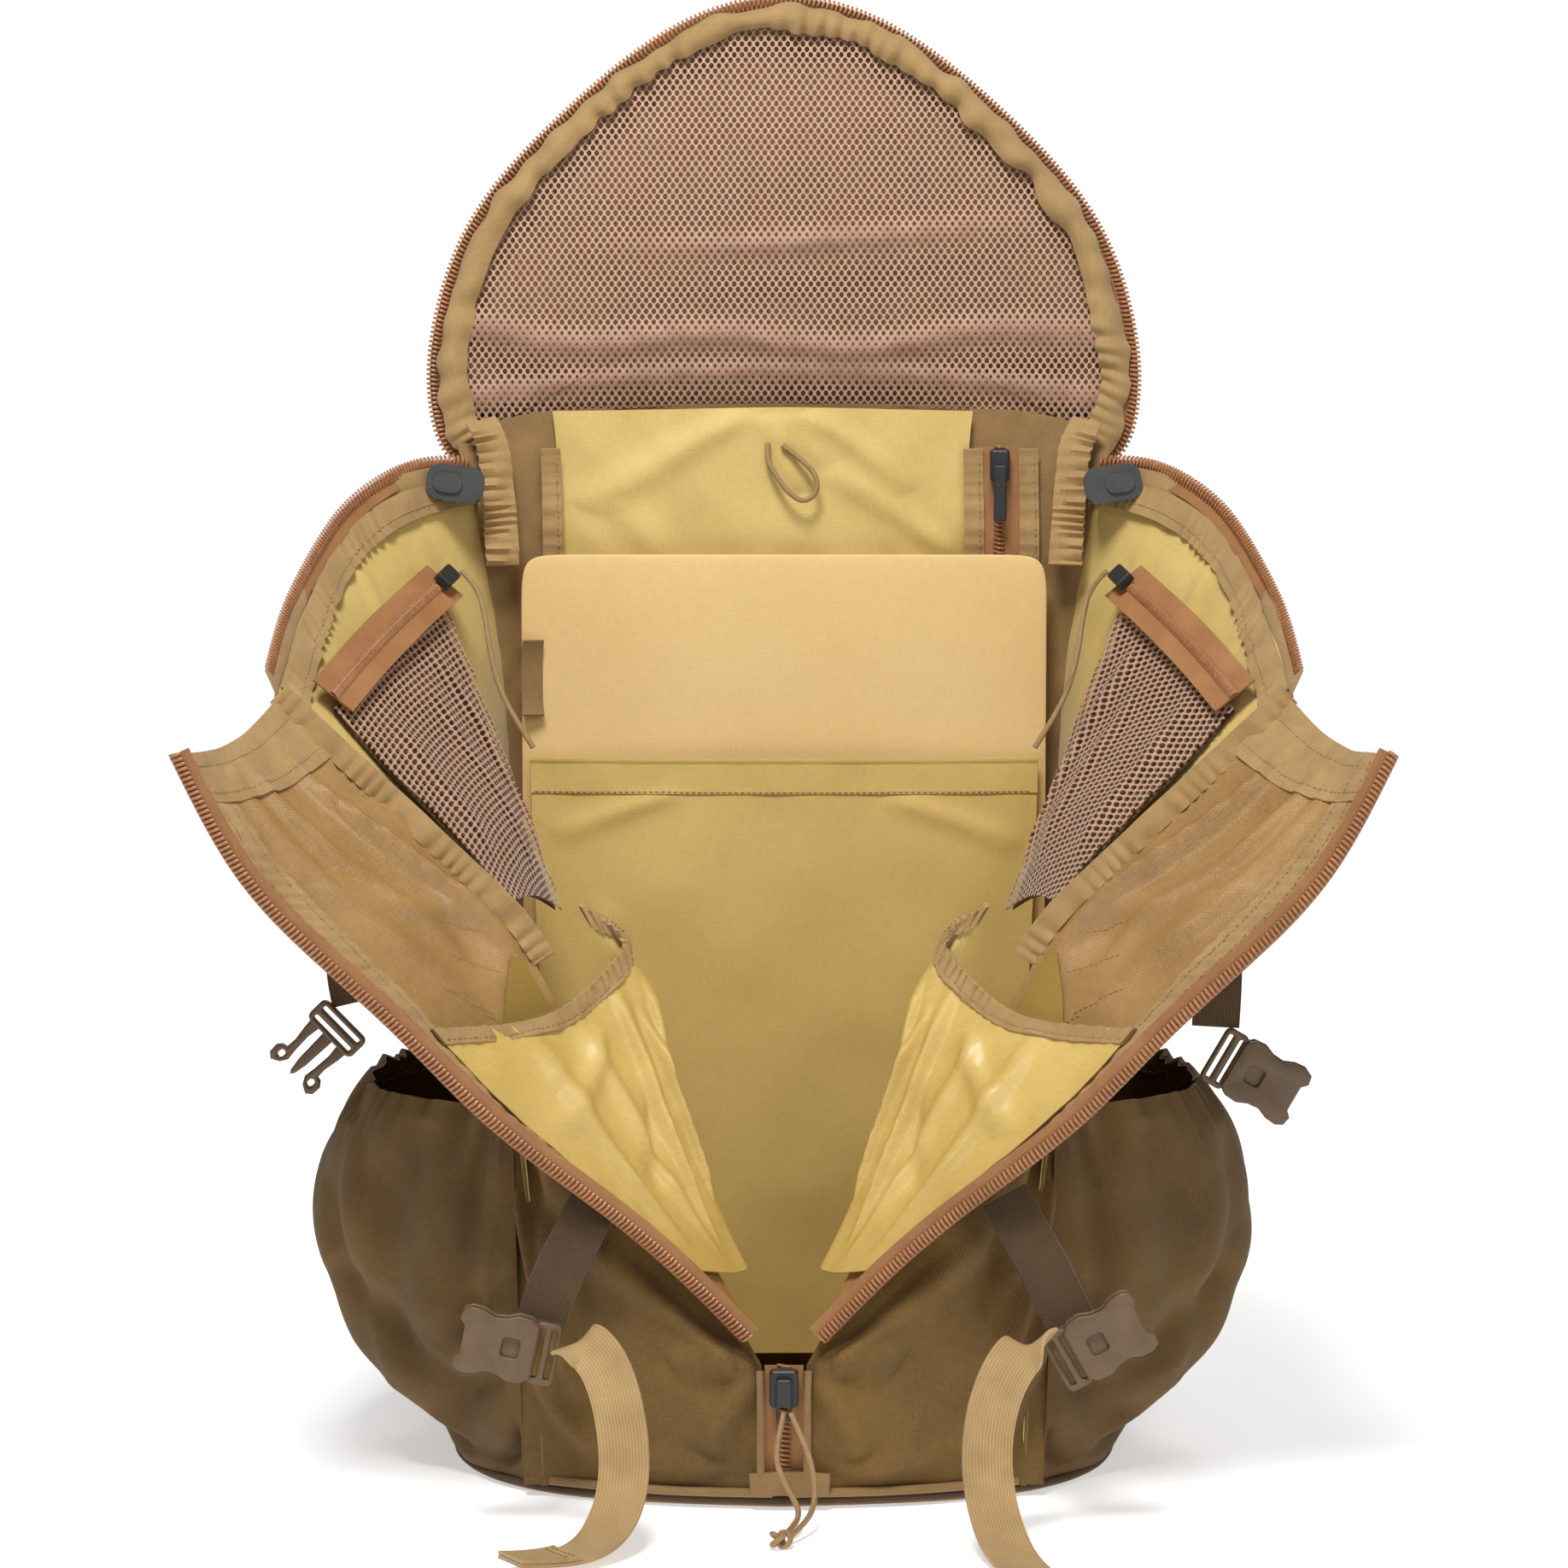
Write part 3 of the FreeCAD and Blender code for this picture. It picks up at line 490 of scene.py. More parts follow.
def cloth_shell(name, grid, thickness, finish, relief=0.0, shift=0.0, uvs=None):
    """A sheet of cloth as a closed shell: two faces half a thickness each side of the grid, moved
    along its normal by the relief and the shift, and a rounded edge that joins them."""
    normals = grid_normals(grid)
    middle = grid + normals * (np.broadcast_to(relief, grid.shape[:2])[..., None] + shift)
    normals = grid_normals(middle)
    rows, columns = grid.shape[:2]
    front = middle + normals * thickness / 2
    back = middle - normals * thickness / 2
    index = np.arange(rows * columns).reshape(rows, columns)
    edge = np.concatenate([index[0, :-1], index[:-1, -1], index[-1, :0:-1], index[:0:-1, 0]])
    after = np.roll(edge, -1)
    count = rows * columns
    outward = middle - middle.mean(axis=(0, 1))
    lip = middle.reshape(-1, 3)[edge] + unit(outward.reshape(-1, 3)[edge]) * thickness * 0.25
    lips = 2 * count + np.arange(len(edge))
    lips_after = np.roll(lips, -1)
    sides = np.concatenate([np.stack([edge, after, lips_after, lips], 1),
                            np.stack([lips, lips_after, after + count, edge + count], 1)])
    faces = [grid_faces(rows, columns), grid_faces(rows, columns, first=count)[:, ::-1], sides]
    points = np.concatenate([front.reshape(-1, 3), back.reshape(-1, 3), lip])
    uvs = (cloth_uv(grid) if uvs is None else uvs).reshape(-1, 2)
    return new_piece(name, points, faces, finish, np.concatenate([uvs, uvs, uvs[edge]]))


def band_grid(line, across, width, steps=5, arch=0.0):
    """A flat band carried along a line: steps points across it, its middle raised by the arch."""
    _, wide, out = frames(line, across)
    place = np.linspace(-0.5, 0.5, steps)
    return (line[:, None] + wide[:, None] * (place * width)[None, :, None]
            + out[:, None] * (arch * (1.0 - (2.0 * place) ** 2))[None, :, None])


def repeated(name, line, across, shape, faces, finish, lift=0.0, shift=0.0):
    """One small shape set at each point of a line; the shape's axes are along, across and outwards."""
    along, wide, out = frames(line, across)
    base = line + wide * shift + out * lift
    points = (base[:, None] + along[:, None] * shape[None, :, :1] + wide[:, None] * shape[None, :, 1:2]
              + out[:, None] * shape[None, :, 2:])
    count = len(shape)
    moved = [[[corner + k * count for corner in face] for face in faces] for k in range(len(line))]
    uvs = np.tile(shape[:, :2], (len(line), 1))
    return new_piece(name, points, moved, finish, uvs)


def small_rod(spine, radius, sides):
    """A short bent rod through a few spine points, with its two ends closed by flat caps."""
    _, wide, out = frames(spine, (0.31, 0.94, 0.17))
    _, ring = circles(wide, out, sides)
    points = (spine[:, None] + ring * np.asarray(radius)[:, None, None]).reshape(-1, 3)
    last = (len(spine) - 1) * sides
    faces = grid_faces(len(spine), sides, True).tolist()
    return points, faces + [list(range(sides)), list(range(last, last + sides))]


stitch_length = 0.0026
stitch_pitch = 0.0034
stitch_spine = np.stack([np.linspace(-0.5, 0.5, 4) * stitch_length, np.zeros(4),
                         np.array((-0.0003, 0.0002, 0.0002, -0.0003))], -1)
stitch_shape, stitch_faces = small_rod(stitch_spine, (0.0002, 0.00034, 0.00034, 0.0002), 4)


def grid_stitches(name, grids_and_tracks, body, lift):
    """Stitch rows that lie on sheets of cloth: each track is a row or a column of a sheet's grid, whose
    normals hold the thread off the cloth by the lift. All of them make one piece."""
    points = []
    faces = []
    count = 0
    for grid, relief, track in grids_and_tracks:
        normals = grid_normals(grid)
        surface = grid + normals * (np.broadcast_to(relief, grid.shape[:2])[..., None] + lift)
        line = surface[track]
        out = normals[track]
        lengths = np.append(0.0, np.cumsum(np.linalg.norm(np.diff(line, axis=0), axis=1)))
        places = np.arange(stitch_pitch, lengths[-1] - stitch_pitch, stitch_pitch)
        at = np.stack([np.interp(places, lengths, line[:, k]) for k in range(3)], -1)
        up = unit(np.stack([np.interp(places, lengths, out[:, k]) for k in range(3)], -1))
        along = unit(np.gradient(at, axis=0))
        wide = np.cross(up, along)
        shape = (at[:, None] + along[:, None] * stitch_shape[None, :, :1]
                 + wide[:, None] * stitch_shape[None, :, 1:2]
                 + up[:, None] * stitch_shape[None, :, 2:])
        points.append(shape.reshape(-1, 3))
        for k in range(len(at)):
            faces.append([[corner + count + k * len(stitch_shape) for corner in face]
                          for face in stitch_faces])
        count += len(at) * len(stitch_shape)
    row = new_piece(name, np.concatenate(points), faces, thread_tan)
    if body:
        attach(row, body)
    return row


def ring_shell(name, outline, levels, finish, body):
    """A flat closed form: an outline drawn in to its middle point at each level's share, at each
    level's height, from the middle of one face round the edge to the middle of the other."""
    middle = outline.mean(axis=0)
    grid = np.stack([middle + (outline - middle) * share + np.array((0, 0, 1.0)) * height
                     for share, height in levels])
    faces = [grid_faces(len(levels), len(outline), True)]
    piece = new_piece(name, grid, faces, finish, grid[..., :2])
    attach(piece, body)
    return piece


base_side = smooth_line([(152, 138, 0), (176, 60, 0), (172, -45, 0), (126, -107, 0), (60, -128, 0),
                         (0, -135, 0)], 0.006)
base_outline = np.concatenate([base_side, base_side[-2::-1] * (-1, 1, 1)])
base_levels = [(0.0, 0.0004), (0.5, 0.0003), (0.93, 0.0001), (0.975, 0.0002), (0.993, 0.0012), (1.0, 0.003),
               (0.993, 0.0048), (0.975, 0.0056), (0.95, 0.0058), (0.5, 0.0059), (0.0, 0.006)]
base_cloth = ring_shell("base_cloth", base_outline, base_levels, tan_cloth, "pack")
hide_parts("base_panel")
welt = tube("base_welt", base_outline + (0, 0, 0.0042), 0.0021, woven_finish(
    "dark_welt", (0.045, 0.026, 0.011), (0.12, 0.072, 0.03), 0.0008), 8)
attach(welt, "pack")

# Side walls: tan pack cloth outside and yellow lining inside, cut so that they lean outwards from
# the base to the open rim. The lining is looser than the cloth and creases along the rim.
yellow_lining = woven_finish("yellow_lining", (0.50, 0.335, 0.075), (0.86, 0.64, 0.225), 0.0006, 0.45, 0.05,
                             Sheen_Weight=0.3, Sheen_Roughness=0.35)


def mirrored(rows, side):
    """Points in millimetres for the right side, or turned over to the left one for a side of -1."""
    return np.array(rows, float) * (side, 1, 1)


wall_front = [(124, -112, 6.2), (127, -112, 90), (134, -111, 180), (146, -109, 262), (177, -106, 336),
              (262, -98, 420)]
wall_mid_front = [(140, -60, 6.2), (146, -60, 100), (151, -60, 190), (158, -58, 280), (190, -53, 358),
                  (256, -40, 455)]
wall_middle = [(150, 2, 6.2), (156, 2, 105), (160, 2, 205), (166, 5, 300), (192, 10, 392), (244, 20, 489)]
wall_mid_back = [(153, 66, 6.2), (158, 66, 112), (161, 66, 220), (165, 66, 318), (178, 65, 414),
                 (216, 64, 515)]
wall_back = [(150, 122, 6.2), (151, 122, 120), (151.5, 122, 230), (153, 121.5, 330), (159, 118, 430),
             (175, 109, 524)]
wall_rows = list(zip(wall_front, wall_mid_front, wall_middle, wall_mid_back, wall_back))
for side_name, side in SIDES:
    grid = cloth_grid(mirrored(wall_rows, side), 130, 70)
    down, across = shares(grid)
    outward = side
    free = np.sin(math.pi * np.clip(across, 0, 1)) ** 0.6
    slack = folded(grid, 11, 0.16) * 0.0022 * free + ripple(grid, 12, 0.05) * 0.0005 * free
    pleats = creases(down, across, [(0.97, 0.1, 0.70, 0.25, 2.5, 0.02), (0.98, 0.3, 0.72, 0.36, 2.0, 0.022),
                                    (0.98, 0.55, 0.74, 0.5, 2.4, 0.02), (0.96, 0.8, 0.7, 0.66, 2.0, 0.025)])
    wall = cloth_shell(side_name + "_wall_cloth", grid, 0.0013, tan_cloth, outward * np.abs(slack),
                       outward * 0.0017)
    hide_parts(side_name + "_side_wall")
    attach(wall, "pack")
    lining = cloth_shell(side_name + "_wall_lining", grid, 0.0007, yellow_lining,
                         outward * (-np.abs(pleats) - np.abs(slack) * 0.3), outward * 0.0004)
    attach(lining, "pack")
    rim_band = cloth_grid(mirrored(wall_rows, side), 300, 260)[-10:, 3:-3]
    rim_band = rim_band - grid_normals(rim_band) * outward * 0.0030
    d, a = shares(rim_band)
    gather = (np.sin(a * 150 + 5 * np.sin(a * 21)) * 0.0011 * (1.2 - d)
              * np.clip(0.6 + ripple(rim_band, 14, 0.1), 0.2, 1.2)
              + ripple(rim_band, 13, 0.03) * 0.0008)
    piece = cloth_shell(side_name + "_rim_binding", rim_band, 0.0012, binding_tape, gather)
    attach(piece, "pack")
    grid_stitches(side_name + "_rim_stitches", [(rim_band, gather, (3, slice(None)))], "pack",
                  -outward * 0.0009)
    edge = [(268, -98, 432), (260, -40, 464), (246, 20, 497), (219, 64, 524), (178, 108, 532)]
    gusset = cloth_grid(mirrored([mirrored(wall_rows, 1)[-1], edge], side), 8, 120)
    piece = cloth_shell(side_name + "_rim_gusset", gusset, 0.0012, binding_tape,
                        ripple(gusset, 15, 0.03) * 0.0005)
    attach(piece, "pack")

# Seam bindings: tan tape, gathered and stitched over the raw seams inside, down each side wall's
# front edge from the free rim corner and under the fold of the flap.
for side_name, side in SIDES:
    seam = smooth_line(mirrored([(259, -112, 421), (228, -116, 392), (197, -117, 363), (171, -116, 338),
                                 (150, -115, 318), (136, -113, 302), (124, -112, 284)], side), 0.0013)
    band = band_grid(seam, (0.69 * side, -0.1, -0.72), 0.0125, 7)
    d, a = shares(band)
    gather = (np.sin(d * 125 + 4 * np.sin(d * 19)) * 0.0008 * (0.4 + a) + ripple(band, 21, 0.035) * 0.0012)
    piece = cloth_shell(side_name + "_seam_binding", band, 0.0016, binding_tape, gather)
    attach(piece, "pack")
    tracks = [(band, gather, (slice(None), 1)), (band, gather, (slice(None), 5))]
    grid_stitches(side_name + "_seam_stitches", tracks, "pack", side * 0.0010)

# Rear corners: tan cloth that closes the gap between the back panel, each side wall
# and the lid's corner.
for side_name, side in SIDES:
    rows = [[(96, 124, 8), (125, 124, 8), (152.5, 119, 8)],
            [(96, 124, 110), (125, 124, 110), (153, 119, 110)],
            [(96, 124, 215), (126, 124, 215), (153.5, 118.5, 217)],
            [(96, 124, 310), (127, 124, 310), (155, 117.5, 312)],
            [(96, 124, 400), (128, 123, 400), (160, 115.5, 404)],
            [(96, 124, 470), (130, 122, 470), (168, 111, 474)],
            [(96, 124, 528), (134, 122, 528), (177, 108, 525)],
            [(96, 126, 545), (136, 124, 545), (182, 113, 538)],
            [(96, 128, 562), (138, 126, 560), (184, 122, 549)]]
    grid = cloth_grid(mirrored(rows, side), 170, 40)
    piece = cloth_shell(side_name + "_corner_cloth", grid, 0.0012, tan_cloth, folded(grid, 24, 0.04) * 0.0012)
    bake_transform(piece)


# Fold strips: the tan cloth that runs on from each side wall's front edge into the flap.
for side_name, side in SIDES:
    rows = [[(146, -107, 262), (138, -110, 266), (128, -112, 270)],
            [(156, -106, 292), (148, -108, 294), (140, -111, 298)],
            [(176, -102, 335), (172, -107, 334), (168, -110, 334)],
            [(216, -98, 382), (219, -106, 382), (222, -113, 382)],
            [(262, -94, 421), (262, -103, 420.5), (259, -111, 420)]]
    grid = cloth_grid(mirrored(rows, side), 90, 16)
    piece = cloth_shell(side_name + "_fold_strip", grid, 0.0014, tan_cloth, ripple(grid, 25, 0.04) * 0.0006)
    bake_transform(piece)


# Zips: coil teeth of copper nylon sewn to a woven tape. On the pack, open ends show one half of the coil
# and closed lengths the two halves locked together; here each zip is one row of teeth. They run round
# the lid, the rims and the flaps.
def coil_finish(name, dark, light):
    """Drawn nylon rod: its colour, roughness and bump vary with noise in its place, as grime."""
    material, start = new_finish(name)
    grime = start.clouds(start.place(), 0.0022, 2.0)
    broad = start.clouds(start.place(), 0.04, 2.0)
    end_finish(start, (grime * 0.7 + broad * 0.5 - 0.1).blended(dark, light), grime * 0.2 + 0.28, grime,
               0.0002, 0.5)
    return material


copper_coil = coil_finish("copper_coil", (0.16, 0.055, 0.018), (0.62, 0.28, 0.12))
copper_tape = woven_finish("copper_tape", (0.22, 0.085, 0.024), (0.50, 0.235, 0.088), 0.0005, 0.65)
tooth_pitch = 0.0026
tooth_turn = np.linspace(-1.0, 1.0, 7)


def coil_teeth(name, line, across, width, body, shift=0.0, pitch=tooth_pitch, towards=(0, -1.0, 0.4)):
    """One bent rod per tooth: half an ellipse over the tape's edge, leaning along the zip, on the face
    of the tape that looks towards the given direction."""
    spine = np.stack([tooth_turn * pitch * 0.22, tooth_turn * width / 2,
                      0.0015 * np.sqrt(np.clip(1.0 - tooth_turn ** 2, 0, 1)) ** 1.3], -1)
    radius = np.array((0.0006, 0.00085, 0.00092, 0.00095, 0.00092, 0.00085, 0.0006)) * pitch / tooth_pitch
    shape, faces = small_rod(spine, radius, 5)
    places = line if np.ndim(across) > 1 else evenly(line, pitch)
    _, _, out = frames(places, across)
    turn = 1.0 if (out @ np.array(towards)).mean() > 0 else -1.0
    teeth = repeated(name, places, np.array(across) * turn, shape, faces, copper_coil, 0.0008, shift * turn)
    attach(teeth, body)
    return teeth


def zip_tape(name, line, across, width, body, shift=0.0):
    """A zip's woven tape: a flat band along the line, moved across it by the shift."""
    places = line if np.ndim(across) > 1 else evenly(line, 0.004)
    grid = band_grid(places, across, width, 4)
    _, wide, _ = frames(places, across)
    tape = cloth_shell(name, grid + wide[:, None] * shift, 0.0011, copper_tape)
    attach(tape, body)


flap_outer = [(17, -145, 93), (52, -155, 131), (92, -168, 168), (144, -182, 212), (190, -193, 261),
              (238, -201, 308), (271, -205, 349), (297, -205, 399)]
for side_name, side in SIDES:
    rim = smooth_line(mirrored([(178, 106, 530), (199, 92, 529.5), (219, 63, 522), (238, 34, 506),
                                (251, -2, 484), (260, -40, 461.5), (264, -70, 443), (265.5, -93, 429)],
                               side), 0.002)
    across = (side * 0.45, 0, 0.9)
    teeth = coil_teeth(side_name + "_rim_teeth", rim, across, 0.0066, "pack", 0.0030,
                       towards=(-side, -0.3, 0.5))
    zip_tape(side_name + "_rim_tape", rim, across, 0.0105, "pack", -0.0012)
    if side < 0:
        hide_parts("side_zip_chains")
    edge = smooth_line(mirrored(np.array(flap_outer, float) + (1.5, -3.5, 1), side), 0.002)
    across = (-side * 0.3, -0.35, 0.9)
    teeth = coil_teeth(side_name + "_flap_teeth", edge, across, 0.0068, side_name + "_flap", -0.0010)
    zip_tape(side_name + "_flap_tape", edge, across, 0.0125, side_name + "_flap", 0.0012)
    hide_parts(side_name + "_flap_zip_chain")

# Flaps: the upper front halves, folded out along their fold lines. Tan pack cloth outside; inside
# is the cloth's brown coated back, which creases and shines, with a folded, stitched top hem.
coated_brown = woven_finish("coated_brown", (0.135, 0.064, 0.017), (0.58, 0.335, 0.112), 0.0009, 0.40, 0.05,
                            Coat_Weight=0.35, Coat_Roughness=0.30)
fold_foot = np.array((12, -133, 84))
fold_head = np.array((152, -107, 318))


def fold_point(share):
    """A point on the right flap's fold line, in millimetres: foot to head as the share goes from 0 to 1."""
    return fold_foot + (fold_head - fold_foot) * share


flap_inner = [fold_point(share) for share in (0.04, 0.22, 0.40, 0.60, 0.80, 1.0)]
flap_inner += [np.array((197, -111, 361)), np.array((260, -107, 419))]
flap_rows = []
for i, (inner, outer) in enumerate(zip(flap_inner, np.array(flap_outer, float))):
    flap_rows.append([inner + (outer - inner) * k / 3
                      - np.array((0, 0, 9 * math.sin(math.pi * k / 3) * min(i, 4) / 4))
                      for k in range(4)])


def flap_surface(side):
    """The flap as a grid: rows from the fold line to the zip, foot to top, smoothed both ways."""
    return cloth_grid(mirrored(flap_rows, side), 170, 44)


for side_name, side in SIDES:
    body = side_name + "_flap"
    grid = flap_surface(side)
    down, across = shares(grid)
    free = np.sin(math.pi * np.clip(across, 0.02, 0.98)) ** 0.7
    seed = 31 if side < 0 else 32
    folds = creases(down, across, [(0.60, 0.05, 0.97, 0.30, 9.0, 0.035), (0.66, 0.28, 0.97, 0.62, 8.0, 0.040),
                                   (0.56, 0.40, 0.85, 0.76, 5.0, 0.05), (0.80, 0.60, 0.96, 0.72, 4.0, 0.04),
                                   (0.62, 0.16, 0.84, 0.52, -6.0, 0.05), (0.70, 0.10, 0.80, 0.70, 5.0, 0.03)])
    slack = folds + folded(grid, seed, 0.13) * 0.0028 * free + ripple(grid, seed + 4, 0.06) * 0.0006
    slack *= np.clip(down * 5.0 - 2.6, 0.05, 1)
    inward = side
    lining = cloth_shell(side_name + "_flap_lining", grid, 0.0009, coated_brown, inward * slack,
                         inward * 0.0008)
    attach(lining, body)
    cloth = cloth_shell(side_name + "_flap_cloth", grid, 0.0012, tan_cloth, inward * slack, -inward * 0.0008)
    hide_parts(side_name + "_front_flap")
    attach(cloth, body)
    lift = inward * (slack + 0.0019)
    hem = grid[-12:] + grid_normals(grid)[-12:] * lift[-12:, :, None]
    hem_relief = inward * ripple(hem, 41, 0.018) * 0.0005
    piece = cloth_shell(side_name + "_flap_hem", hem, 0.0012, binding_tape, hem_relief)
    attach(piece, body)
    edge = grid[:, 34:43] + grid_normals(grid)[:, 34:43] * lift[:, 34:43, None]
    d, a = shares(edge)
    gather = inward * (np.sin(d * 260 + 4 * np.sin(d * 17)) * 0.0005 + ripple(edge, 42, 0.04) * 0.0008)
    piece = cloth_shell(side_name + "_flap_binding", edge, 0.0012, binding_tape, gather)
    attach(piece, body)
    thread = inward * 0.0008
    tracks = [(hem, hem_relief, (2, slice(None))), (hem, hem_relief, (8, slice(None))),
              (edge, gather, (slice(None), 2)), (edge, gather, (slice(None), 6))]
    grid_stitches(side_name + "_flap_stitches", tracks, body, thread)
    tacks = []
    for row, first, last in ((112, 6, 14), (103, 8, 17), (96, 16, 24), (88, 12, 19)):
        tacks.append((grid, inward * (slack + 0.0014),
                      (np.arange(row, row + 11), np.linspace(first, last, 11).astype(int))))
    grid_stitches(side_name + "_flap_tacks", tacks, body, 0.0)

# Slip pockets: bags of bright yellow pack cloth inside the flaps. The mouth is bound with tan tape
# and gapes; the bag hangs in soft folds that run down to the start of the zip.
# A darker copy of the bag's yellow cloth: painted shade for the inside of the bag.
shaded_bag_yellow = woven_finish("shaded_bag_yellow", (0.16, 0.092, 0.010), (0.42, 0.26, 0.045), 0.0005, 0.6, 0.06)
bag_yellow = woven_finish("bag_yellow", (0.42, 0.255, 0.035), (0.84, 0.61, 0.20), 0.0005, 0.32, 0.06,
                          Coat_Weight=0.35, Coat_Roughness=0.3)
bag_rows = [[(33, -134, 124), (28, -127, 122), (24, -119, 121), (20, -113, 121), (22, -108, 125)],
            [(80, -145, 171), (64, -128, 169), (50, -109, 168), (42, -97, 169), (50, -93, 180)],
            [(120, -155, 216), (95, -130, 216), (73, -104, 222), (61, -90, 231), (75, -86, 247)],
            [(156, -163, 256), (126, -137, 257), (98, -106, 272), (84, -92, 292), (106, -88, 309)]]
for side_name, side in SIDES:
    body = side_name + "_flap"
    surface = flap_surface(side)
    rows = mirrored(bag_rows, side)
    rows[:, 0] = surface[[22, 50, 74, 96], 35] * 1000 - (0, 5, -2)
    rows[1:3, 1:] -= (0, 5, 0)
    grid = cloth_grid(rows, 110, 90)
    down, across = shares(grid)
    inward = -side
    lines = [(0.05, 0.10, 0.98, 0.20, 5.5, 0.030), (0.02, 0.30, 0.90, 0.34, 4.5, 0.035),
             (0.10, 0.45, 0.96, 0.56, 6.0, 0.035), (0.25, 0.75, 0.85, 0.62, 4.5, 0.03),
             (0.55, 0.05, 0.88, 0.42, 4.0, 0.035), (0.30, 0.20, 0.62, 0.52, -3.5, 0.04),
             (0.60, 0.62, 0.99, 0.92, 4.0, 0.04), (0.35, 0.88, 0.80, 0.80, -3.0, 0.03)]
    folds = creases(down, across, lines) + folded(grid, 51 if side < 0 else 52, 0.06) * 0.0008
    folds *= np.clip(down * 3, 0.15, 1)
    bag = cloth_shell(side_name + "_bag", grid, 0.0008, bag_yellow, inward * folds, inward * 0.0006)
    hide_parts(side_name + "_slip_pocket")
    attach(bag, body)
    normals = grid_normals(grid)
    mouth = grid[-8:] + normals[-8:] * (inward * (folds[-8:] + 0.0006))[..., None]
    d, a = shares(mouth)
    gather = inward * (np.sin(a * 150 + 5 * np.sin(a * 13)) * 0.0008 * (0.4 + d)
                       + ripple(mouth, 53, 0.03) * 0.0008)
    piece = cloth_shell(side_name + "_mouth_binding", mouth, 0.0034, binding_tape, gather)
    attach(piece, body)
    grid_stitches(side_name + "_mouth_stitches", [(mouth, gather, (2, slice(None)))], body, inward * 0.0019)
    # The bag's back wall, seen through the gaping mouth, in the shaded copy of the yellow: painted shade
    # inside the bag.
    back = cloth_grid([surface[row, [3, 14, 25, 35]] * 1000 for row in (60, 66, 72)]
                      + [surface[[108, 96, 85, 77], [3, 14, 25, 35]] * 1000], 60, 40)
    drape = folded(back, 54, 0.06) * 0.0012
    piece = cloth_shell(side_name + "_bag_back", back, 0.0006, shaded_bag_yellow, side * drape, side * 0.0036)
    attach(piece, body)


# Lid: a domed tan shell behind, stood up on its hinge, with a strip sewn round its rim for the zip.
# Inside, an air-mesh pocket covers its lining, held all round by a wide gathered binding.
lid_shares = [(-0.889, -0.074), (-0.965, -0.020), (-1.0, 0.107), (-0.980, 0.275), (-0.864, 0.512),
              (-0.606, 0.746), (-0.374, 0.898), (-0.182, 0.975)]
lid_outline = np.array(lid_shares + [(0, 1)] + [(-x, z) for x, z in lid_shares[::-1]]) * (0.198, 0.244)
lid_middle = np.array((0.0, 0.096))
lid_hinge = np.array((0.127, 0.547))


def lid_edge(where, scale, forward):
    """Points on the lid's outline at places from 0, the left hinge corner, to 1, drawn in to its middle."""
    flat = spline_weights(len(lid_outline), np.asarray(where) * (len(lid_outline) - 1)) @ lid_outline
    flat = lid_middle + (flat - lid_middle) * scale
    return np.stack([flat[:, 0], lid_hinge[0] + 0.1 * np.maximum(flat[:, 1], 0) - forward,
                     lid_hinge[1] + flat[:, 1]], -1)


def lid_rings(scales, forwards, lowest, arch=0.0, count=170, floor_count=60):
    """Rings from the lid's middle out to its rim. Each follows the outline over the top and a line along
    the hinge that rises by the arch, and stands forward of the lid's leaning plane by its own distance."""
    arc = lid_edge(np.linspace(0, 1, count), 1.0, 0.0)
    arc[:, 2] = np.maximum(arc[:, 2], lid_hinge[1] + lowest)
    lower = arc[-1] + (arc[0] - arc[-1]) * np.linspace(0, 1, floor_count + 2)[1:-1, None]
    lower[:, 2] += arch * (1.0 - (lower[:, 0] / arc[:, 0].max()) ** 2)
    loop = np.concatenate([arc, lower])
    centre = np.array((0, 0, lid_hinge[1] + lid_middle[1]))
    rings = []
    for scale, forward in zip(scales, forwards):
        ring = centre + (loop - centre) * (scale, 0, scale)
        ring[:, 1] = lid_hinge[0] + 0.1 * np.maximum(ring[:, 2] - lid_hinge[1], 0) - forward
        rings.append(ring)
    return np.stack(rings)


def ring_cloth(name, rings, thickness, finish, relief, body):
    """A closed shell of cloth on rings that start at one middle point; the relief moves it forwards."""
    middle = rings - np.array((0, 1.0, 0)) * relief[..., None]
    front = middle - (0, thickness / 2, 0)
    back = middle + (0, thickness / 2, 0)
    rows, columns = rings.shape[:2]
    count = rows * columns
    rim = (rows - 1) * columns + np.arange(columns)
    side_quads = np.stack([rim, np.roll(rim, -1), np.roll(rim, -1) + count, rim + count], 1)
    faces = [grid_faces(rows, columns, True), grid_faces(rows, columns, True, count)[:, ::-1], side_quads]
    points = np.concatenate([front.reshape(-1, 3), back.reshape(-1, 3)])
    piece = new_piece(name, points, faces, finish, points[:, (0, 2)])
    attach(piece, body)
    return piece


